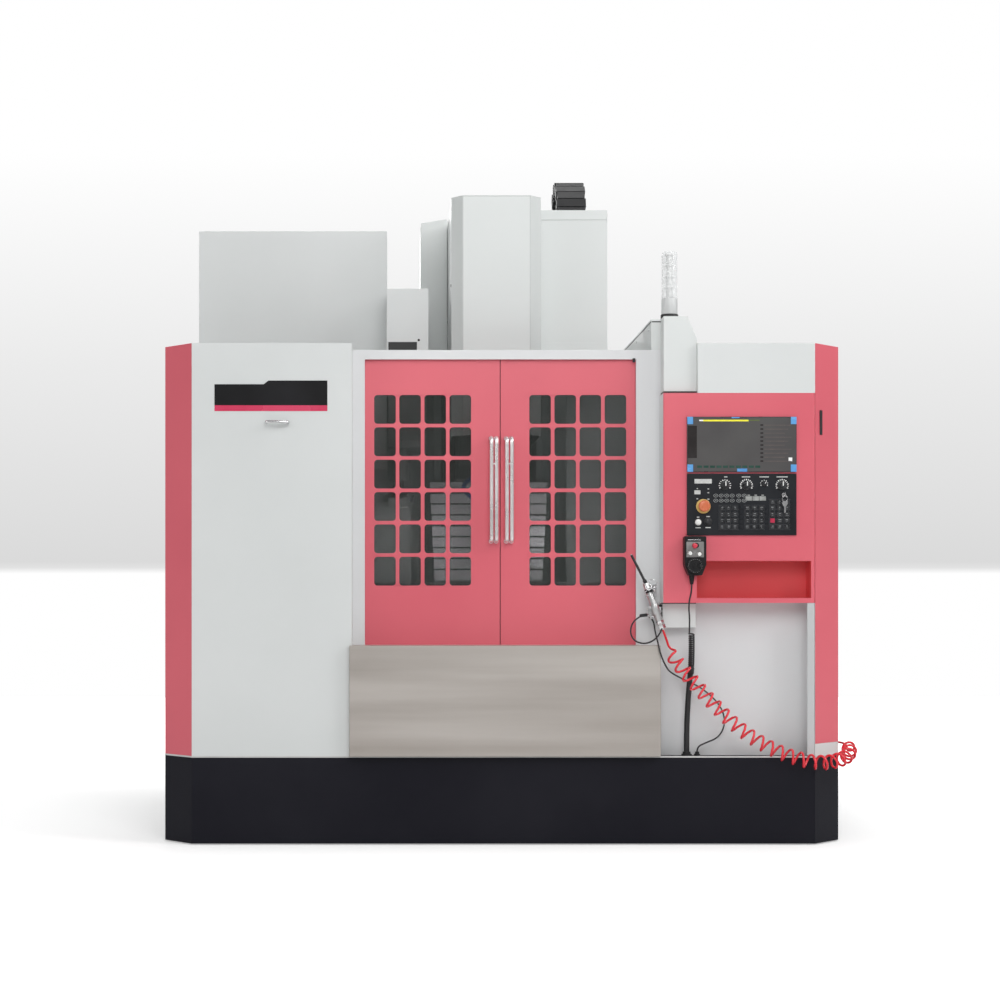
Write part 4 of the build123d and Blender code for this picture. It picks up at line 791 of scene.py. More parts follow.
def draw_out(piece, finish, slot, body, start, end, stands_for=None):
    """Gives a piece its finish, bakes its placing into its mesh and hides the node it stands for; the body is
    not used.
    """
    piece.data.materials.append(finish)
    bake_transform(piece)
    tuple(start)
    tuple(end)
    if stands_for:
        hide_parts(stands_for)


cover_steel = surface(
    "cover_steel", (0.56, 0.55, 0.58), (0.70, 0.69, 0.72), 2.5, (0.3, 0.42), 0.06, 120, (0.4, 1, 8), 0.35
)
column_face = front + 1.240
leaf_foot, leaf_top, leaf_count = 1.015, 1.450, 9
leaf_pitch = (leaf_top - leaf_foot) / leaf_count
leaf_step, sheet, leaf_back = 0.0025, 0.0015, column_face - 0.008
leaves, wipers = [], []
for n in range(leaf_count):
    wide = 0.240 + n * leaf_step
    y = front + 1.184 - n * leaf_step
    z0 = leaf_foot + n * leaf_pitch
    z1 = min(z0 + leaf_pitch + 0.012, leaf_top)
    outside = [(-wide, leaf_back), (-wide, y), (wide, y), (wide, leaf_back)]
    inside = [(x - math.copysign(sheet, x), y + sheet) for x in (wide, -wide)]
    inside = [(wide - sheet, leaf_back), *inside, (sheet - wide, leaf_back)]
    rings = [[(x, py, z) for x, py in outside + inside] for z in (z0, z0 + 0.004, (z0 + z1) / 2, z1)]
    for i in (1, 2):
        x, py, z = rings[0][i]
        rings[0][i] = (x, py - 0.0012, z)
    leaves.append(rings)
    if n:
        wipers.append((-wide - 0.0002, wide + 0.0002, y - 0.0020, y + 0.002, z0 - 0.0030, z0 + 0.0040))
column_run = (0, column_face, leaf_foot), (0, column_face, leaf_top)
draw_out(skin("z_cover_leaves", leaves), cover_steel, "stainless", "head", *column_run, "z_cover")
draw_out(blocks("z_cover_wipers", wipers), dull_black, "black_plastic", "head", *column_run)

saddle_front, saddle_back = front + 0.470, front + 0.870
bed_front, liner_back = front + 0.180, front + 1.174
y_leaf_count, y_leaf_foot = 6, 0.65
for stack, far, near in (("front", bed_front, saddle_front), ("back", liner_back, saddle_back)):
    leaves = []
    pitch = (near - far) / y_leaf_count
    for n in range(y_leaf_count):
        wide = 0.300 + n * leaf_step
        eave, ridge = 0.735 + n * 0.0026, 0.760 + n * 0.0026
        start = far + n * pitch
        reach = pitch + math.copysign(0.014, pitch) if n < y_leaf_count - 1 else pitch
        outline = [(-wide, y_leaf_foot), (-wide, eave), (0, ridge), (wide, eave), (wide, y_leaf_foot)]
        outline += [(x - math.copysign(sheet, x) if x else 0.0, z - sheet) for x, z in reversed(outline)]
        leaves.append([[(x, y, z) for x, z in outline] for y in (start, start + reach / 2, start + reach)])
    stack_piece = skin(f"y_cover_leaves_{stack}", leaves)
    draw_out(stack_piece, cover_steel, "stainless", "saddle", (0, far, 0.7), (0, near, 0.7), "y_covers")

# The head is a painted casting on four carriages. The steel spindle turns in its nose, with a bright
# clamp ring and black screws, and its ribbed motor stands on top.
head_paint = surface("head_paint", (0.030, 0.031, 0.032), (0.046, 0.047, 0.048), 3, (0.35, 0.5), 0.25, 300)
dress(head_paint, 0.002, "head_casting")
dress(ground_steel, 0.0006, "spindle")
dress(motor_black, 0.002, "spindle_motor")
spindle_y, nose = front + 0.670, 1.390
ring_profile = [(0.0455, 0.001), (0.078, 0.001), (0.084, 0.006), (0.084, 0.012), (0.0455, 0.0125)]
nose_ring = lathe("nose_ring", ring_profile, (0, spindle_y, nose), (0, 0, 1), 48)
fit(nose_ring, ground_steel, 0.001, "head")
cap_ring = []
for n in range(8):
    turn = n * math.pi / 4 + 0.2
    cap_ring.append((0.065 * math.cos(turn), spindle_y + 0.065 * math.sin(turn), nose + 0.001))
in_black(screw_heads("nose_screws", cap_ring, (0, 0, -1), 0.0048, 0.003), body="head")
motor_ribs = ribs("motor_ribs", (0, spindle_y, 1.945), 18, 0.019, 0.1005, 0.105, 56)
fit(motor_ribs, motor_black, body="head")

# Two coolant lines of snap-together plastic balls, one blue and one black, hang beside the spindle
# nose. Each ends in a tapered nozzle.
nozzle_black = surface("nozzle_black", (0.012, 0.012, 0.013), (0.022, 0.022, 0.024), 30, (0.3, 0.42), 0.1)
nozzle_blue = surface("nozzle_blue", (0.02, 0.06, 0.22), (0.03, 0.08, 0.28), 30, (0.3, 0.42), 0.1)
ball = [(0.0075, 0.0), (0.0095, 0.004), (0.0095, 0.009), (0.0070, 0.0135)]
tip = [(0.0095, 0.0), (0.0085, 0.010), (0.0045, 0.030), (0.0030, 0.032)]
for side, side_name, finish in ((-1, "left", nozzle_blue), (1, "right", nozzle_black)):
    bend = [
        (side * 0.075, spindle_y + 0.03, nose + 0.055),
        (side * 0.125, spindle_y + 0.03, nose + 0.035),
        (side * 0.128, spindle_y + 0.01, nose - 0.012),
        (side * 0.072, spindle_y - 0.005, nose - 0.048),
    ]
    stations = along(bend, 13)
    hulls = [turned(place, direction, ball, 14) for place, direction in stations[:-1]]
    hulls.append(turned(*stations[-1], tip, 14))
    fit(skin(f"coolant_line_{side_name}", hulls, smooth=True), finish, body="head")

# The head cover and the box beside it are bent from the same grey sheet, and so is the column's cover.
# The head cover is open behind, and the box has a lid with a drawn seam.
cover_grey = powder_coat("cover_grey", (0.655, 0.685, 0.675), (0.705, 0.730, 0.722), 1.0, coat=0.08)
dress(cover_grey, 0.0015, "head_cover")
dress(cover_grey, 0.0012, "head_side_box", "column_cover")
dress(panel_grey, 0.0012, "magazine_cover")
cover_top, cover_foot, cover_front = 2.576, 1.62, front + 0.490
seam_top = cover_top - 0.004
cover_seams = [(-0.138, 0.138, cover_front - 0.0006, cover_front, seam_top, cover_top - 0.0022)]
for x0 in (-0.1372, 0.1360):
    cover_seams.append((x0, x0 + 0.0012, cover_front - 0.0006, cover_front, cover_foot, seam_top))
seam_shade = surface("seam_shade", (0.40, 0.42, 0.415), (0.46, 0.48, 0.47), 6, (0.5, 0.6), 0.05)
fit(blocks("head_cover_seams", cover_seams), seam_shade, body="head")
in_black(screw_heads("head_cover_screws", [(-0.1828, front + 0.56, 2.220)], (-1, 0, 0), 0.0065), body="head")
box_front, box_rear, box_left, box_right = front + 0.700, 0.0255, 0.1835, 0.4745
skirt_foot, skirt_top = 1.953, 2.004
skirt_walls = [
    (box_left, box_right, box_front - 0.0007, box_front + 0.0008),
    (box_left, box_right, box_rear - sheet, box_rear),
    (box_left, box_left + sheet, box_front + 0.0008, box_rear - sheet),
    (box_right - sheet, box_right, box_front + 0.0008, box_rear - sheet),
]
box_skirt = blocks("side_box_skirt", [(*wall, skirt_foot, skirt_top) for wall in skirt_walls])
fit(box_skirt, cover_grey, 0.0004, "head")

# The column's cover has a flange turned out along its left front edge, and a lip on the flange beside
# the head cover.
column_front, flange_low = 0.035, 1.908
flange = [(-0.3002, flange_low), (-0.1858, flange_low), (-0.1858, 2.600), (-0.1900, 2.6045), (-0.3002, 2.587)]
column_flange = front_prism("column_cover_flange", flange, column_front - 0.0015, column_front + 0.0005)
fit(column_flange, cover_grey, 0.0004)
column_lip = [
    (-0.2050, -0.1680, 0.0578, 0.0600, 2.160, 2.600),
    (-0.2050, -0.2030, column_front, 0.0578, 2.160, 2.600),
]
fit(blocks("column_cover_lip", column_lip), cover_grey, 0.0004)

# The changer cover has a dark slot low on its front, drawn as a thin black sheet in painted shade, with a
# screw just over it.
slot_shade = (-0.4405, -0.3235, front + 0.5575, front + 0.5600, 1.9555, 1.9885)
in_black(blocks("changer_slot_shade", [slot_shade]), 0.0008)
in_black(screw_heads("changer_screw", [(-0.316, front + 0.560, 1.9965)], (0, -1, 0), 0.005))

# Electric cables run to the head in a chain of black plastic links. Each link has two side plates and two
# bridges, and pivots on the next as the chain rolls behind the moving box.
box_top, chain_foot = 2.559, 2.110
chain_x0, chain_x1 = 0.274, 0.398
chain_radius, half_thick = 0.150, 0.027
chain_y = front + 1.150 - chain_radius
arc_length = math.pi * chain_radius
chain_length = arc_length + box_top - chain_foot
link_count = 26
link_pitch = chain_length / link_count


def chain_spot(reach):
    """A place on the chain's middle line and the direction it runs in, from the head's end."""
    if reach < arc_length:
        angle = reach / chain_radius
        place = (chain_y - chain_radius * math.cos(angle), box_top + chain_radius * math.sin(angle))
        return Vector(place), Vector((math.sin(angle), math.cos(angle)))
    return Vector((chain_y + chain_radius, box_top - reach + arc_length)), Vector((0.0, -1.0))


def chain_bar(reach0, reach1, out0, out1, x0, x1):
    """A small bar along the chain, between two distances from its middle line."""
    corners = []
    for reach, out in ((reach0, out0), (reach1, out0), (reach1, out1), (reach0, out1)):
        spot, run = chain_spot(reach)
        corners.append((spot.x - run.y * out, spot.y + run.x * out))
    return [[(x, y, z) for y, z in corners] for x in (x0, x1)]


links = []
plate = 0.004
bridge_x0, bridge_x1 = chain_x0 + 0.0045, chain_x1 - 0.0045
for n in range(link_count):
    a, b = n * link_pitch + 0.0006, (n + 1) * link_pitch - 0.0006
    inset = 0.0 if n % 2 else plate
    for x in (chain_x0 + inset, chain_x1 - inset - plate):
        links.append(chain_bar(a, b, -half_thick, half_thick, x, x + plate))
    for out in (half_thick - plate, -half_thick):
        links.append(chain_bar(a + 0.0008, b - 0.0012, out, out + plate, bridge_x0, bridge_x1))
chain_black = surface("chain_black", (0.008, 0.008, 0.009), (0.014, 0.014, 0.015), 25, (0.45, 0.6), 0.2, 900)
chain_run = (0.33, chain_y + chain_radius - 0.02, 2.3), (0.33, chain_y - chain_radius + 0.02, 2.3)
draw_out(skin("cable_chain", links), chain_black, "black_plastic", "head", *chain_run, "drag_chain")
cable_stations = [chain_spot(chain_length * n / 21)[0] for n in range(22)]
for n, (x, diameter) in enumerate(((0.300, 0.018), (0.325, 0.022), (0.352, 0.016), (0.374, 0.018))):
    cable_name = f"chain_cable_{n + 1}"
    line = cable(cable_name, diameter, [(x, spot.x, spot.y) for spot in cable_stations])
    mesh = bpy.data.meshes.new_from_object(line)
    bpy.data.objects.remove(line)
    draw_out(placed(cable_name, mesh), vinyl, "cord_rubber", "head", *chain_run)

# The tool magazine is a steel disc with 24 plastic pots, turned by its hub, and the changer beside it
# is a cast gearbox with a double arm of ground steel.
changer_paint = surface("changer_paint", (0.20, 0.21, 0.21), (0.28, 0.29, 0.29), 3, (0.35, 0.5), 0.25, 300)
dress(changer_paint, 0.001, "magazine_disc")
dress(changer_paint, 0.002, "changer_gearbox")
dress(ground_steel, 0.001, "changer_arm")
disc_x, disc_z, pot_front = -0.8, 1.850, front + 0.840
pot_circle, pot_count = 0.305, 24
pot_black = surface("pot_plastic", (0.011, 0.011, 0.012), (0.020, 0.020, 0.022), 12, (0.3, 0.42), 0.1, 700)
pot = [(0.021, 0.060), (0.022, 0.0002), (0.0325, -0.001), (0.0340, 0.002)]
pot += [(0.0340, 0.014), (0.0334, 0.018), (0.0334, 0.090)]
for n in range(pot_count):
    turn = math.tau * n / pot_count
    spot = (disc_x + pot_circle * math.sin(turn), pot_front, disc_z + pot_circle * math.cos(turn))
    fit(lathe(f"pot_{n + 1}", pot, spot, (0, 1, 0), 28), pot_black, body="magazine_disc")

# The control box hangs beside the doors. It is folded sheet in the pink coat with a grey side, thin black
# strips of painted shade in the gaps over and under its left end, and an open tray along its foot.
dress(panel_pink, 0.0, "control_box")
box_side = (0.6072, 0.6082, front + 0.0045, front + 0.0945, 0.9215, 1.7165)
fit(blocks("control_box_side", [box_side]), panel_grey, 0.0003)
# Black strips fill the gaps over and under the box's left end, as painted shade.
gap_shade_strips = [
    (0.6112, 0.7390, front + 0.0182, front + 0.0940, 1.7170, 1.7265),
    (0.6112, 0.7395, front + 0.0470, front + 0.0940, 0.9165, 0.9202),
]
in_black(blocks("control_box_gap_shade", gap_shade_strips), 0.0005)
# The inside of the tray is lined with thin sheets of a deeper red, as painted shade and painted red
# reflection in the recess.
tray_painted_shade = powder_coat("tray_painted_shade", (0.60, 0.050, 0.058), (0.68, 0.064, 0.072), 1.4)
tray_left, tray_right, tray_low, tray_high = 0.7352, 1.1698, 0.9384, 1.0796
tray_lip, tray_back, shade_sheet = front + 0.0010, front + 0.0786, 0.001
tray_walls = [
    (tray_left, tray_right, tray_back, tray_back + shade_sheet, tray_low, tray_high),
    (tray_left, tray_right, tray_lip, tray_back, tray_low, tray_low + shade_sheet),
    (tray_left, tray_right, tray_lip, tray_back, tray_high - shade_sheet, tray_high),
    (tray_left, tray_left + shade_sheet, tray_lip, tray_back, tray_low + shade_sheet, tray_high - shade_sheet),
    (tray_right - shade_sheet, tray_right, tray_lip, tray_back, tray_low + shade_sheet, tray_high - shade_sheet),
]
fit(blocks("tray_painted_shade_sheets", tray_walls), tray_painted_shade)

# The screen is a dark glass in a black bezel, with blue film guards left on its corners. It shows plain
# bars, rows and fields with no words on them.
screen_left, screen_right, screen_low, screen_high = 0.697, 1.113, 1.417, 1.627
glass_face = front - 0.008
glass_thick = 0.0008
glass_out = glass_face - glass_thick
bezel_black = surface("bezel_black", (0.030, 0.030, 0.032), (0.045, 0.045, 0.047), 9, (0.22, 0.34), 0.05, 900)
dress(bezel_black, 0.0015, "display_unit")


def tiles(name, face, out, spans, back=0.0):
    """Flat tiles on an upright face, each between two corners (x0, x1, z0, z1)."""
    return blocks(name, [(x0, x1, face - out, face - back, z0, z1) for x0, x1, z0, z1 in spans])


glass_span = (screen_left + 0.002, screen_right - 0.002, screen_low + 0.003, screen_high - 0.003)
screen_grey = surface("screen_grey", (0.072, 0.068, 0.070), (0.092, 0.090, 0.088), 5, (0.12, 0.2))
screen_glass = tiles("screen_glass", glass_face, glass_thick, [glass_span], -0.001)
fit(screen_glass, screen_grey, 0.0004)
guard_blue = surface("guard_blue", (0.09, 0.30, 0.66), (0.14, 0.40, 0.76), 30, (0.2, 0.3), 0.05)
guard_wide, guard_tall = 0.022, 0.028
guards = []
for x in (screen_left + 0.0005, screen_right - guard_wide - 0.0005):
    for z in (screen_low + 0.0005, screen_high - guard_tall - 0.0005):
        guards.append((x, x + guard_wide, glass_out - 0.0012, glass_face, z, z + guard_tall))
guards.append((0.887, 0.925, glass_out - 0.0008, glass_face, screen_low + 0.001, screen_low + 0.013))
guards.append((0.866, 0.896, glass_out - 0.0004, glass_face, screen_high - 0.0055, screen_high - 0.0015))
fit(blocks("screen_guards", guards), guard_blue, 0.0006)


def on_screen(name, spans, finish):
    """Patches of one colour on the screen."""
    fit(tiles(name, glass_out, 0.0003, spans), finish)


def lit(name, colour, strength):
    """A lit patch of the screen: plain colour with a little light of its own."""
    dark = tuple(c * 0.85 for c in colour)
    return surface(
        name, dark, colour, 60, (0.15, 0.22), Emission_Color=(*colour, 1), Emission_Strength=strength
    )


def unlit(name, dark, pale, drift):
    """A patch of the screen that gives no light."""
    return surface(name, dark, pale, drift, (0.15, 0.22))


bar_low, bar_top = 1.6092, 1.6155
on_screen("screen_bar", [(0.758, 0.930, bar_low, bar_top)], lit("bar_yellow", (0.80, 0.75, 0.05), 0.25))
bar_green = lit("bar_green", (0.12, 0.16, 0.05), 0.05)
on_screen("screen_bar_end", [(0.930, 0.972, bar_low + 0.002, bar_top)], bar_green)
pale_spans = [(1.082, 1.096, 1.4575, 1.472), (0.743, 0.758, bar_low + 0.001, bar_top)]
on_screen("screen_lamp", pale_spans, lit("lamp_white", (0.80, 0.80, 0.80), 0.25))
field_spans = [(screen_left + 0.0022, 0.734, 1.470, 1.5925)]
rows = []
for n in range(10):
    row_z = 1.598 - n * 0.0152
    field_spans.append((0.9750, 0.9860, row_z - 0.0055, row_z))
    rows.append((0.990, 1.093 - 0.012 * (n % 3), row_z - 0.0045, row_z - 0.0020))
on_screen("screen_fields", field_spans, unlit("field_dark", (0.016, 0.013, 0.013), (0.026, 0.022, 0.022), 20))
on_screen("screen_rows", rows, unlit("row_faint", (0.11, 0.09, 0.09), (0.15, 0.12, 0.11), 40))
soft_keys = [(0.735 + n * 0.0245, 0.754 + n * 0.0245, 1.4325, 1.4415) for n in range(10)]
field_green = unlit("field_green", (0.018, 0.060, 0.045), (0.030, 0.085, 0.065), 40)
on_screen("screen_softkeys", soft_keys, field_green)

# The machine panel is a black anodised plate. Its keys are moulded caps with worn-smooth tops, and the
# marks on them are printed pale grey.
anodised_dark, anodised_pale = (0.010, 0.011, 0.014), (0.016, 0.018, 0.022)
panel_black = surface(
    "panel_black", anodised_dark, anodised_pale, 5, (0.4, 0.5), 0.12, 800, Specular_IOR_Level=0.22
)
dress(panel_black, 0.0006, "keypad_panel")
plate_face = front - 0.006


def about(x, z, half_x, half_z):
    """A tile's corners from its middle and its half sizes."""
    return x - half_x, x + half_x, z - half_z, z + half_z


cap_black = surface("cap_black", (0.013, 0.014, 0.016), (0.024, 0.025, 0.028), 40, (0.25, 0.35), 0.08, 900)
random.seed(7)
key_rows = (1.2085, 1.2325, 1.2555, 1.2800, 1.3030)
red_spot = (1.021, 1.2325)
caps, marks = [], []
for key_columns, row_count in (
    ((0.830, 0.8546, 0.8792), 4),
    ((0.926, 0.9526, 0.9792), 4),
    ((1.021, 1.0485, 1.0760), 5),
):
    for x in key_columns:
        for z in key_rows[:row_count]:
            if (x, z) == red_spot:
                continue
            caps.append(about(x, z, 0.0108, 0.0095))
            for up, half_z in ((0.0032, 0.0010), (-0.0037, 0.0005)):
                reach = 0.0022 + 0.0034 * random.random()
                shift = 0.002 * (random.random() - 0.5)
                marks.append(about(x + shift, z + up, reach, half_z))
fit(tiles("key_caps", plate_face, 0.0042, caps, 0.001), cap_black, 0.0018)
key_ink = surface("key_ink", (0.24, 0.25, 0.26), (0.36, 0.37, 0.38), 40, (0.5, 0.6))
fit(tiles("key_marks", plate_face, 0.0044, marks, 0.004), key_ink)
cap_red = surface("cap_red", (0.42, 0.02, 0.06), (0.55, 0.03, 0.08), 40, (0.25, 0.35), 0.05)
red_cap = tiles("red_key_cap", plate_face, 0.0048, [about(*red_spot, 0.0085, 0.0085)], 0.001)
fit(red_cap, cap_red, 0.0030, segments=3)
key_fields = [(0.8165, 0.8927, 1.1965, 1.2925), (0.9125, 0.9927, 1.1965, 1.2925)]
key_fields.append((1.0075, 1.0895, 1.1965, 1.3155))
field_black = surface("field_black", (0.020, 0.022, 0.028), (0.028, 0.031, 0.038), 9, (0.3, 0.4), 0.1, 900)
fit(tiles("key_fields", plate_face, 0.0009, key_fields), field_black, 0.0004)

# White legends: a bare white strip, a lamp window, short captions over and under the controls, and the
# scales round the rotary switches.
mark_white = surface("mark_white", (0.50, 0.51, 0.50), (0.62, 0.63, 0.62), 90, (0.4, 0.5))
captions = [(0.7255, 0.7910, 1.3735, 1.3905), (0.7250, 0.7480, 1.3325, 1.3475)]
for x, z, wide in (
    (0.844, 1.3985, 0.012),
    (0.921, 1.3985, 0.032),
    (0.990, 1.3985, 0.036),
    (1.058, 1.3985, 0.042),
    (0.739, 1.2455, 0.010),
    (0.777, 1.2480, 0.014),
    (0.739, 1.2055, 0.020),
    (0.777, 1.2060, 0.020),
    (0.736, 1.3155, 0.006),
    (0.778, 1.3140, 0.008),
    (0.736, 1.3540, 0.004),
    (0.778, 1.3530, 0.006),
    (0.778, 1.3385, 0.006),
):
    captions.append(about(x, z, wide / 2, 0.0018))
fit(tiles("panel_captions", plate_face, 0.0004, captions), mark_white)
dial_z = 1.366
jog_x, jog_z = 0.990, 1.3725
knobs = (("mode", 0.841), ("rapid", 0.9226), ("feed", 1.0583))
ticks = []
for x, z, inner_r, outer_r, tick_count in (
    (knobs[0][1], dial_z, 0.0185, 0.0235, 11),
    (knobs[1][1], dial_z, 0.0195, 0.0250, 13),
    (knobs[2][1], dial_z, 0.0195, 0.0250, 13),
    (jog_x, jog_z, 0.0120, 0.0150, 7),
):
    for n in range(tick_count):
        turn = math.radians(-115 + 230 * n / (tick_count - 1))
        spread = 0.0013 if n % 2 else 0.0021
        right, up = math.sin(turn), math.cos(turn)
        corners = []
        for reach, aside in ((inner_r, -spread), (outer_r, -spread), (outer_r, spread), (inner_r, spread)):
            corners.append((x + right * reach + up * aside, z + up * reach - right * aside))
        ticks.append([[(tx, y, tz) for tx, tz in corners] for y in (plate_face, plate_face - 0.0005)])
bright_mark = surface("mark_bright", (0.78, 0.78, 0.77), (0.86, 0.86, 0.85), 90, (0.4, 0.5))
fit(skin("dial_scales", ticks), bright_mark)

# The rotary switches are fluted black plastic knobs with a white line on their pointers. A small jog
# knob stands between them.


def dial_spot(x, z, radius, turn):
    """A place round a dial, by its turn from the top."""
    return x + radius * math.sin(turn), z + radius * math.cos(turn)


def fluted(name, x, z, face, profile, steps, depth, period, cuts):
    """A dial turned about an axis square to a face, with flutes where its profile asks for them."""
    rings = []
    for reach, radius, cut in profile:
        ring = []
        for n in range(steps):
            r = radius - depth if cut and n % period in cuts else radius
            px, pz = dial_spot(x, z, r, math.tau * n / steps)
            ring.append((px, face - reach, pz))
        rings.append(ring)
    return skin(name, [rings])


knob_profile = [
    (0.0003, 0.0170, 0),
    (0.0045, 0.0170, 0),
    (0.006, 0.0150, 0),
    (0.0062, 0.0130, 1),
    (0.018, 0.0120, 1),
    (0.020, 0.0105, 0),
]
for knob_name, knob_x in knobs:
    body = f"{knob_name}_knob"
    knob = fluted(f"{knob_name}_switch", knob_x, dial_z, plate_face, knob_profile, 60, 0.0007, 4, (0, 1))
    fit(knob, cap_black, 0.0003, body, stands_for=body)
    pointer_line = (knob_x - 0.0019, knob_x + 0.0019, dial_z - 0.002, dial_z + 0.0145)
    pointer = tiles(f"{knob_name}_pointer", plate_face, 0.0218, [pointer_line], 0.0195)
    fit(pointer, bright_mark, 0.0006, body)
jog_profile = [(0.0105, 0.0), (0.0105, 0.003), (0.0085, 0.004), (0.0080, 0.014), (0.0065, 0.0155)]
jog_knob = lathe("jog_knob", jog_profile, (jog_x, plate_face, jog_z), (0, -1, 0), 28)
fit(jog_knob, cap_black, 0.0004)
jog_line = tiles("jog_knob_line", plate_face, 0.0162, [(0.9895, 0.9915, jog_z, jog_z + 0.007)], 0.0150)
jog_turn = Matrix.Rotation(math.radians(38), 4, "Y")
jog_pivot = Vector((0.9905, 0, jog_z))
jog_line.data.transform(Matrix.Translation(jog_pivot) @ jog_turn @ Matrix.Translation(-jog_pivot))
fit(jog_line, bright_mark)

# Two rows of oval lamp buttons with grey rims are pressed into the panel, and a grey counter window
# with three places is let in beside them.
rims, rim_marks = [], []
rim_steps = 28
for row_z in (1.3275, 1.3085):
    for n in range(6):
        oval_x = 0.806 + n * 0.0208 + (0.004 if n > 3 else 0.0)
        rings = []
        for half_x, half_z, reach in (
            (0.0088, 0.0066, 0.0),
            (0.0088, 0.0066, 0.0016),
            (0.00704, 0.00484, 0.0016),
            (0.00704, 0.00484, 0.0),
        ):
            ring = []
            for m in range(rim_steps):
                turn = math.tau * m / rim_steps
                x, z = oval_x + half_x * math.cos(turn), row_z + half_z * math.sin(turn)
                ring.append((x, plate_face - reach, z))
            rings.append(ring)
        rims.append(rings)
        rim_marks.append(about(oval_x, row_z, 0.0030, 0.0012))
rim_grey = surface("rim_grey", (0.22, 0.23, 0.23), (0.30, 0.31, 0.31), 50, (0.3, 0.4))
fit(skin("lamp_button_rims", rims, foot=False, top=False), rim_grey)
fit(tiles("lamp_button_marks", plate_face, 0.0011, rim_marks), rim_grey)
counter = []
for n in range(3):
    shift = n * 0.0265
    counter.append((0.919 + shift, 0.9435 + shift, 1.3085, 1.3250))
    counter.append((0.9265 + shift, 0.9360 + shift, 1.3270, 1.3310))
counter_grey = surface("counter_grey", (0.28, 0.29, 0.28), (0.40, 0.41, 0.40), 50, (0.25, 0.35))
fit(tiles("counter_windows", plate_face, 0.0014, counter), counter_grey, 0.0006)

# The emergency stop is a red mushroom on a yellow ring, and the start and hold buttons are plain caps
# in black collars.
outwards = (0, -1, 0)
stop_spot = (0.759, plate_face, 1.287)
yellow = surface("stop_yellow", (0.58, 0.38, 0.11), (0.66, 0.45, 0.14), 30, (0.3, 0.4), 0.05)
stop_ring = [(0.0160, 0.0), (0.0275, 0.0), (0.0275, 0.0012), (0.0262, 0.0024), (0.0160, 0.0024)]
fit(lathe("stop_ring", stop_ring, stop_spot, outwards, 56), yellow, 0.0004)
stop_red = surface("stop_red", (0.58, 0.145, 0.062), (0.68, 0.19, 0.085), 30, (0.22, 0.32), 0.03)
mushroom = [(0.0060, -0.0118), (0.0060, 0.0042), (0.0142, 0.0044), (0.0142, 0.0190)]
mushroom += [(0.0205, 0.0200), (0.0220, 0.0225), (0.0220, 0.0285), (0.0205, 0.0318)]
mushroom += [(0.0160, 0.0335), (0.0080, 0.0339), (0.0030, 0.0340)]
stop_cap = lathe("stop_mushroom", mushroom, stop_spot, outwards, 48)
fit(stop_cap, stop_red, body="e_stop", stands_for="e_stop")
cap_white = surface("cap_white", (0.74, 0.75, 0.73), (0.84, 0.85, 0.83), 50, (0.2, 0.3))
button_profile = [(0.006, -0.0118), (0.006, 0.0022), (0.0118, 0.0024), (0.0118, 0.0066), (0.0100, 0.0070)]
button_profile += [(0.0100, 0.0110), (0.0092, 0.0118), (0.0030, 0.0119)]
collar_profile = [(0.0123, 0.0), (0.0155, 0.0), (0.0155, 0.0035), (0.0146, 0.0045), (0.0123, 0.0045)]
for button_name, x, z, finish, slot in (
    ("start_button", 0.7387, 1.226, cap_white, "button_white"),
    ("hold_button", 0.777, 1.229, cap_black, "button_black"),
):
    button = lathe(f"{button_name}_cap", button_profile, (x, plate_face, z), outwards, 40)
    fit(button, finish, body=button_name, stands_for=button_name)
    in_black(lathe(f"{button_name}_collar", collar_profile, (x, plate_face, z), outwards, 40))

# The key switch has a bright barrel with its key in the lock. A ring hangs from it, and on the ring a
# spare key.
dress(polished, 0.0006, "key_switch")
key_x, key_z = 1.064, 1.330
ring_spots = [dial_spot(key_x, key_z - 0.0150, 0.0105, math.tau * n / 16) for n in range(17)]
key_ring = cable("key_ring", 0.0014, [(x, plate_face - 0.024, z) for x, z in ring_spots])
in_steel(key_ring, body="key_switch")
bow_and_blade = [
    (-0.0085, 0.024),
    (0.0085, 0.024),
    (0.0105, 0.034),
    (0.0060, 0.043),
    (0.0032, 0.044),
    (0.0032, 0.066),
    (-0.0010, 0.070),
    (-0.0032, 0.066),
    (-0.0032, 0.044),
    (-0.0060, 0.043),
    (-0.0105, 0.034),
]
key_outline = [(key_x + x, key_z - drop) for x, drop in bow_and_blade]
spare_key = front_prism("spare_key", key_outline, plate_face - 0.0250, plate_face - 0.0230)
in_steel(spare_key, 0.0003, "key_switch")

# The handwheel pendant is a black plastic box with a grey metal face plate, clipped to the control box
# by a steel bar. Its knobs are pressed on, and the handwheel is a knurled disc with a spinner.
shell_dark, shell_pale = (0.007, 0.007, 0.008), (0.012, 0.012, 0.013)
pendant_black = surface(
    "pendant_black", shell_dark, shell_pale, 18, (0.38, 0.5), 0.2, 800, Specular_IOR_Level=0.25
)
dress(pendant_black, 0.001, "pendant_body")
pendant_face = front - 0.046
silver = surface(
    "pendant_silver", (0.23, 0.225, 0.22), (0.31, 0.305, 0.30), 30, (0.3, 0.4), 0.06, 700, metallic=0.3
)
face_outline = [(0.6885, 1.0925), (0.7545, 1.0925), (0.7545, 1.1490), (0.7520, 1.1515), (0.6910, 1.1515)]
face_outline.append((0.6885, 1.1490))
face_plate = front_prism("pendant_plate", face_outline, pendant_face - 0.0012, pendant_face)
fit(face_plate, silver, 0.0004)
knob_red = surface("knob_red", (0.55, 0.03, 0.06), (0.66, 0.05, 0.08), 30, (0.22, 0.32))
pendant_ticks = []
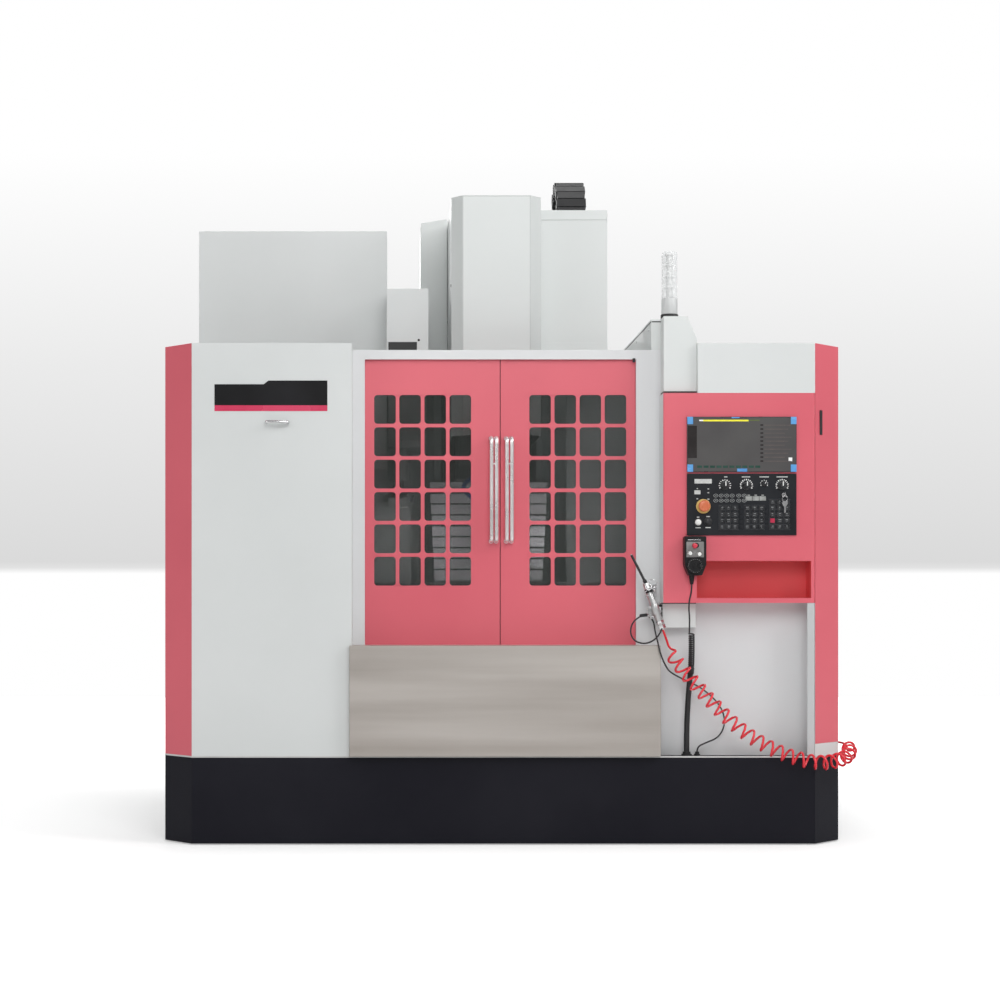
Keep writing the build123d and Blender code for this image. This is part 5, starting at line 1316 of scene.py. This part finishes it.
for cap_name, x, z, radius, out, finish, slot in (
    ("pendant_stop", 0.720, 1.136, 0.0106, 0.0165, knob_red, "stop_red"),
    ("pendant_axis_knob", 0.701, 1.107, 0.0096, 0.0145, cap_white, "button_white"),
    ("pendant_step_knob", 0.736, 1.104, 0.0096, 0.0145, cap_white, "button_white"),
):
    profile = [(radius, 0.0008), (radius, out * 0.6), (radius * 0.94, out * 0.85), (radius * 0.75, out)]
    profile.append((0.0020, out + 0.0006))
    fit(lathe(cap_name, profile, (x, pendant_face, z), outwards, 36), finish)
    if finish is cap_white:
        for n in range(7):
            spot = dial_spot(x, z, 0.0125, math.radians(-75 + 25 * n))
            pendant_ticks.append(about(*spot, 0.0005, 0.0011))
in_black(tiles("pendant_marks", pendant_face, 0.0014, pendant_ticks, 0.0011))
wheel_x, wheel_z = 0.720, 1.060
wheel_profile = [
    (0.0004, 0.0285, 0),
    (0.0015, 0.0298, 1),
    (0.0085, 0.0298, 1),
    (0.0100, 0.0285, 0),
    (0.0112, 0.0230, 0),
    (0.0100, 0.0210, 0),
    (0.0098, 0.0090, 0),
    (0.0120, 0.0080, 0),
]
handwheel = fluted("handwheel", wheel_x, wheel_z, pendant_face, wheel_profile, 120, 0.0009, 2, (1,))
fit(handwheel, pendant_black, body="pendant_dial", stands_for="pendant_dial")
spinner_profile = [(0.0045, 0.0098), (0.0045, 0.0150), (0.0052, 0.0180), (0.0052, 0.0260), (0.0040, 0.0288)]
spinner_profile.append((0.0015, 0.0290))
spinner_spot = (wheel_x + 0.018, pendant_face, wheel_z)
spinner = lathe("handwheel_spinner", spinner_profile, spinner_spot, outwards, 28)
fit(spinner, cap_black, body="pendant_dial")
wheel_marks = []
for n in range(20):
    wheel_marks.append(about(*dial_spot(wheel_x, wheel_z, 0.0255, math.tau * n / 20), 0.0006, 0.0006))
marks_piece = tiles("handwheel_marks", pendant_face, 0.0112, wheel_marks, 0.0104)
fit(marks_piece, mark_white, body="pendant_dial")
in_steel(tiles("pendant_clip", pendant_face, 0.0010, [(0.6930, 0.7430, 1.1565, 1.1600)], -0.001), 0.0005)

# The blow gun is a satin aluminium casting with a black nozzle tube, hung by a steel ring on the hook.
# Its trigger is a pressed steel lever.
gun_metal = surface(
    "gun_metal", (0.46, 0.46, 0.46), (0.60, 0.60, 0.60), 25, (0.24, 0.38), 0.15, 500, metallic=0.85
)
dress(gun_metal, 0.0012, "air_gun")
dress(gun_metal, 0.0006, "gun_trigger")
gun_y = front + 0.030
gun_base = Vector((0.610, gun_y, 0.818))
gun_head = Vector((0.545, gun_y, 0.996))
gun_tip = Vector((0.489, gun_y, 1.105))
nozzle_run = gun_tip - gun_head
reach = nozzle_run.length
nozzle = [(0.0075, -0.004), (0.0075, 0.010), (0.0050, 0.014)]
nozzle += [(0.0048, reach - 0.006), (0.0036, reach - 0.0005)]
in_black(lathe("gun_nozzle", nozzle, gun_head, nozzle_run, 24))
body_run = gun_head - gun_base
collar_profile = [(0.0132, 0.002), (0.0150, 0.004), (0.0150, 0.018), (0.0140, 0.020), (0.0140, 0.026)]
collar_profile += [(0.0150, 0.028), (0.0150, 0.036), (0.0132, 0.038)]
fit(lathe("gun_collars", collar_profile, gun_base, body_run, 6), polished, 0.0008)
band_profile = [(0.0134, 0.150), (0.0146, 0.152), (0.0146, 0.164), (0.0134, 0.166)]
in_black(lathe("gun_band", band_profile, gun_base, body_run, 28), 0.0004)
for ring_name, centre, radius, across, thickness, gap in (
    ("hook_ring", (0.570, gun_y - 0.012, 0.992), 0.0175, (0.25, 1, 0.1), 0.0034, 0.5),
    ("gun_ring", (0.5545, gun_y - 0.014, 0.981), 0.0115, (0.1, 1, -0.3), 0.0030, 0.0),
    ("chain_ring", (0.5500, gun_y - 0.015, 0.958), 0.0105, (-0.4, 1, 0.2), 0.0028, 0.0),
):
    axis = Vector(across).normalized()
    right = axis.orthogonal().normalized()
    up = axis.cross(right)
    spots = []
    for n in range(19):
        turn = gap / 2 + (math.tau - gap) * n / 18
        spots.append(Vector(centre) + (right * math.cos(turn) + up * math.sin(turn)) * radius)
    in_steel(cable(ring_name, thickness, spots))

# Two small black couplings stand on a steel stem on the left of the grey block beside the gun, one over
# the other.
coupling = [(0.0040, 0.0), (0.0072, 0.001), (0.0072, 0.009), (0.0050, 0.010)]
coupling += [(0.0050, 0.013), (0.0066, 0.014), (0.0066, 0.021), (0.0035, 0.022)]
stem_x, stem_y = 0.6050, front + 0.062
upwards = (0, 0, 1)
for n, z in enumerate((0.8655, 0.8925)):
    in_black(lathe(f"coupling_{n + 1}", coupling, (stem_x, stem_y, z), upwards, 24), 0.0004)
stem = [(0.0030, 0.0), (0.0030, 0.0600)]
in_steel(lathe("coupling_stem", stem, (stem_x, stem_y, 0.8605), upwards, 16))

# The thin hose starts in a small elbow at the gun's foot, and a sleeve clamps it where the loop turns
# back, beside a steel tee. A small valve hangs on the gun's right.
sleeve = [(0.0032, -0.002), (0.0062, 0.0), (0.0062, 0.026), (0.0032, 0.029)]
in_black(lathe("hose_sleeve", sleeve, (0.525, front + 0.0405, 0.8705), (0.97, 0.10, 0.12), 20), 0.0006)
tee = [(0.0052, 0.0), (0.0070, 0.001), (0.0070, 0.010), (0.0050, 0.011), (0.0050, 0.021), (0.0066, 0.022)]
tee += [(0.0066, 0.028), (0.0040, 0.029)]
in_steel(lathe("hose_tee", tee, (0.553, front + 0.0445, 0.8735), (0.96, 0.14, -0.22), 6), 0.0006)
valve = [(0.0090, 0.0), (0.0090, 0.016), (0.0065, 0.018), (0.0065, 0.030), (0.0100, 0.032), (0.0100, 0.046)]
valve.append((0.0070, 0.050))
in_steel(lathe("side_valve", valve, (0.598, front + 0.047, 0.905), (0.05, 0.35, -0.94), 20), 0.0008)

# Cables run from the control box up a riser and back over the right wall in a sheet steel duct whose lid
# is sealed by a thin black strip and held by small screws.
dress(cover_grey, 0.0012, "cable_duct")
duct_top, run_left, wall_face = 2.013, 0.575, front + 0.095
seal_low, seal_high = duct_top - 0.0125, duct_top - 0.0085
duct_seal = [
    (run_left - 0.0008, run_left + 0.002, wall_face + 0.002, back_face, seal_low, seal_high),
    (run_left + 0.002, 0.612, wall_face - 0.0008, wall_face + 0.001, seal_low, seal_high),
]
in_black(blocks("duct_seal", duct_seal))
duct_screws = [(run_left, wall_face + 0.08 + 0.36 * n, duct_top - 0.030) for n in range(5)]
fit(screw_heads("duct_screws", duct_screws, (-1, 0, 0), 0.0048, 0.0018), bright_screw)

# The signal tower stands on the duct: a clear lens in four storeys round white lamp plates, on a grey
# plastic foot with a black rubber under it.
tower_spot = (0.650, front + 0.130, duct_top)
foot_profile = [(0.0310, 0.0), (0.0338, 0.001), (0.0338, 0.0205), (0.0325, 0.0220), (0.0200, 0.0222)]
in_black(lathe("tower_foot", foot_profile, tower_spot, upwards, 48))
tower_grey = surface("tower_grey", (0.58, 0.59, 0.59), (0.66, 0.67, 0.67), 20, (0.3, 0.4), 0.05, 700)
base_profile = [(0.0306, 0.0215), (0.0310, 0.0230), (0.0310, 0.0820), (0.0300, 0.0845), (0.0200, 0.0850)]
tower_base = lathe("tower_base", base_profile, tower_spot, upwards, 56)
fit(tower_base, tower_grey, stands_for="signal_tower")
lens_clear = surface(
    "lens_clear", (0.84, 0.86, 0.87), (0.90, 0.92, 0.93), 30, (0.12, 0.2), Alpha=0.34, Coat_Weight=0.4
)
storey = 0.0425
lens_profile = [(0.0290, 0.0845), (0.0300, 0.0860)]
core_profile = [(0.0130, 0.086)]
for n in range(4):
    z = 0.087 + n * storey
    lens_profile += [(0.0302, z), (0.0302, z + 0.0405), (0.0296, z + 0.0412)]
    core_profile += [(0.0130, z + 0.003), (0.0130, z + 0.035), (0.0200, z + 0.036), (0.0200, z + 0.039)]
lens_profile += [(0.0290, 0.2600), (0.0240, 0.2645), (0.0120, 0.2650)]
core_profile.append((0.0130, 0.2590))
fit(lathe("tower_lens", lens_profile, tower_spot, upwards, 56), lens_clear)
lamp_white = surface("lamp_core", (0.80, 0.80, 0.79), (0.88, 0.88, 0.87), 30, (0.4, 0.5))
fit(lathe("tower_core", core_profile, tower_spot, upwards, 32), lamp_white)

# The electrical cabinet behind is a grey steel box. Its door hangs on two lift-off hinges, is held by
# two quarter-turn locks and closes on a black seal.
dress(panel_grey, 0.0012, "electrical_cabinet", "cabinet_door")
rear = 1.150
lock_profile = [(0.0140, -0.001), (0.0140, 0.0015), (0.0128, 0.0035), (0.0060, 0.0040), (0.0055, 0.0015)]
for n, z in enumerate((0.70, 1.75)):
    lock = lathe(f"cabinet_lock_{n + 1}", lock_profile, (0.372, rear, z), (0, 1, 0), 32)
    in_steel(lock, body="cabinet_door")
seal_out, seal_in = rear - 0.0114, rear - 0.0109
door_seal = [
    (0.3302, 1.1498, seal_out, seal_in, 2.0465, 2.0495),
    (0.3302, 0.3330, seal_out, seal_in, 0.4205, 2.0465),
]
in_black(blocks("cabinet_seal", door_seal), body="cabinet_door")
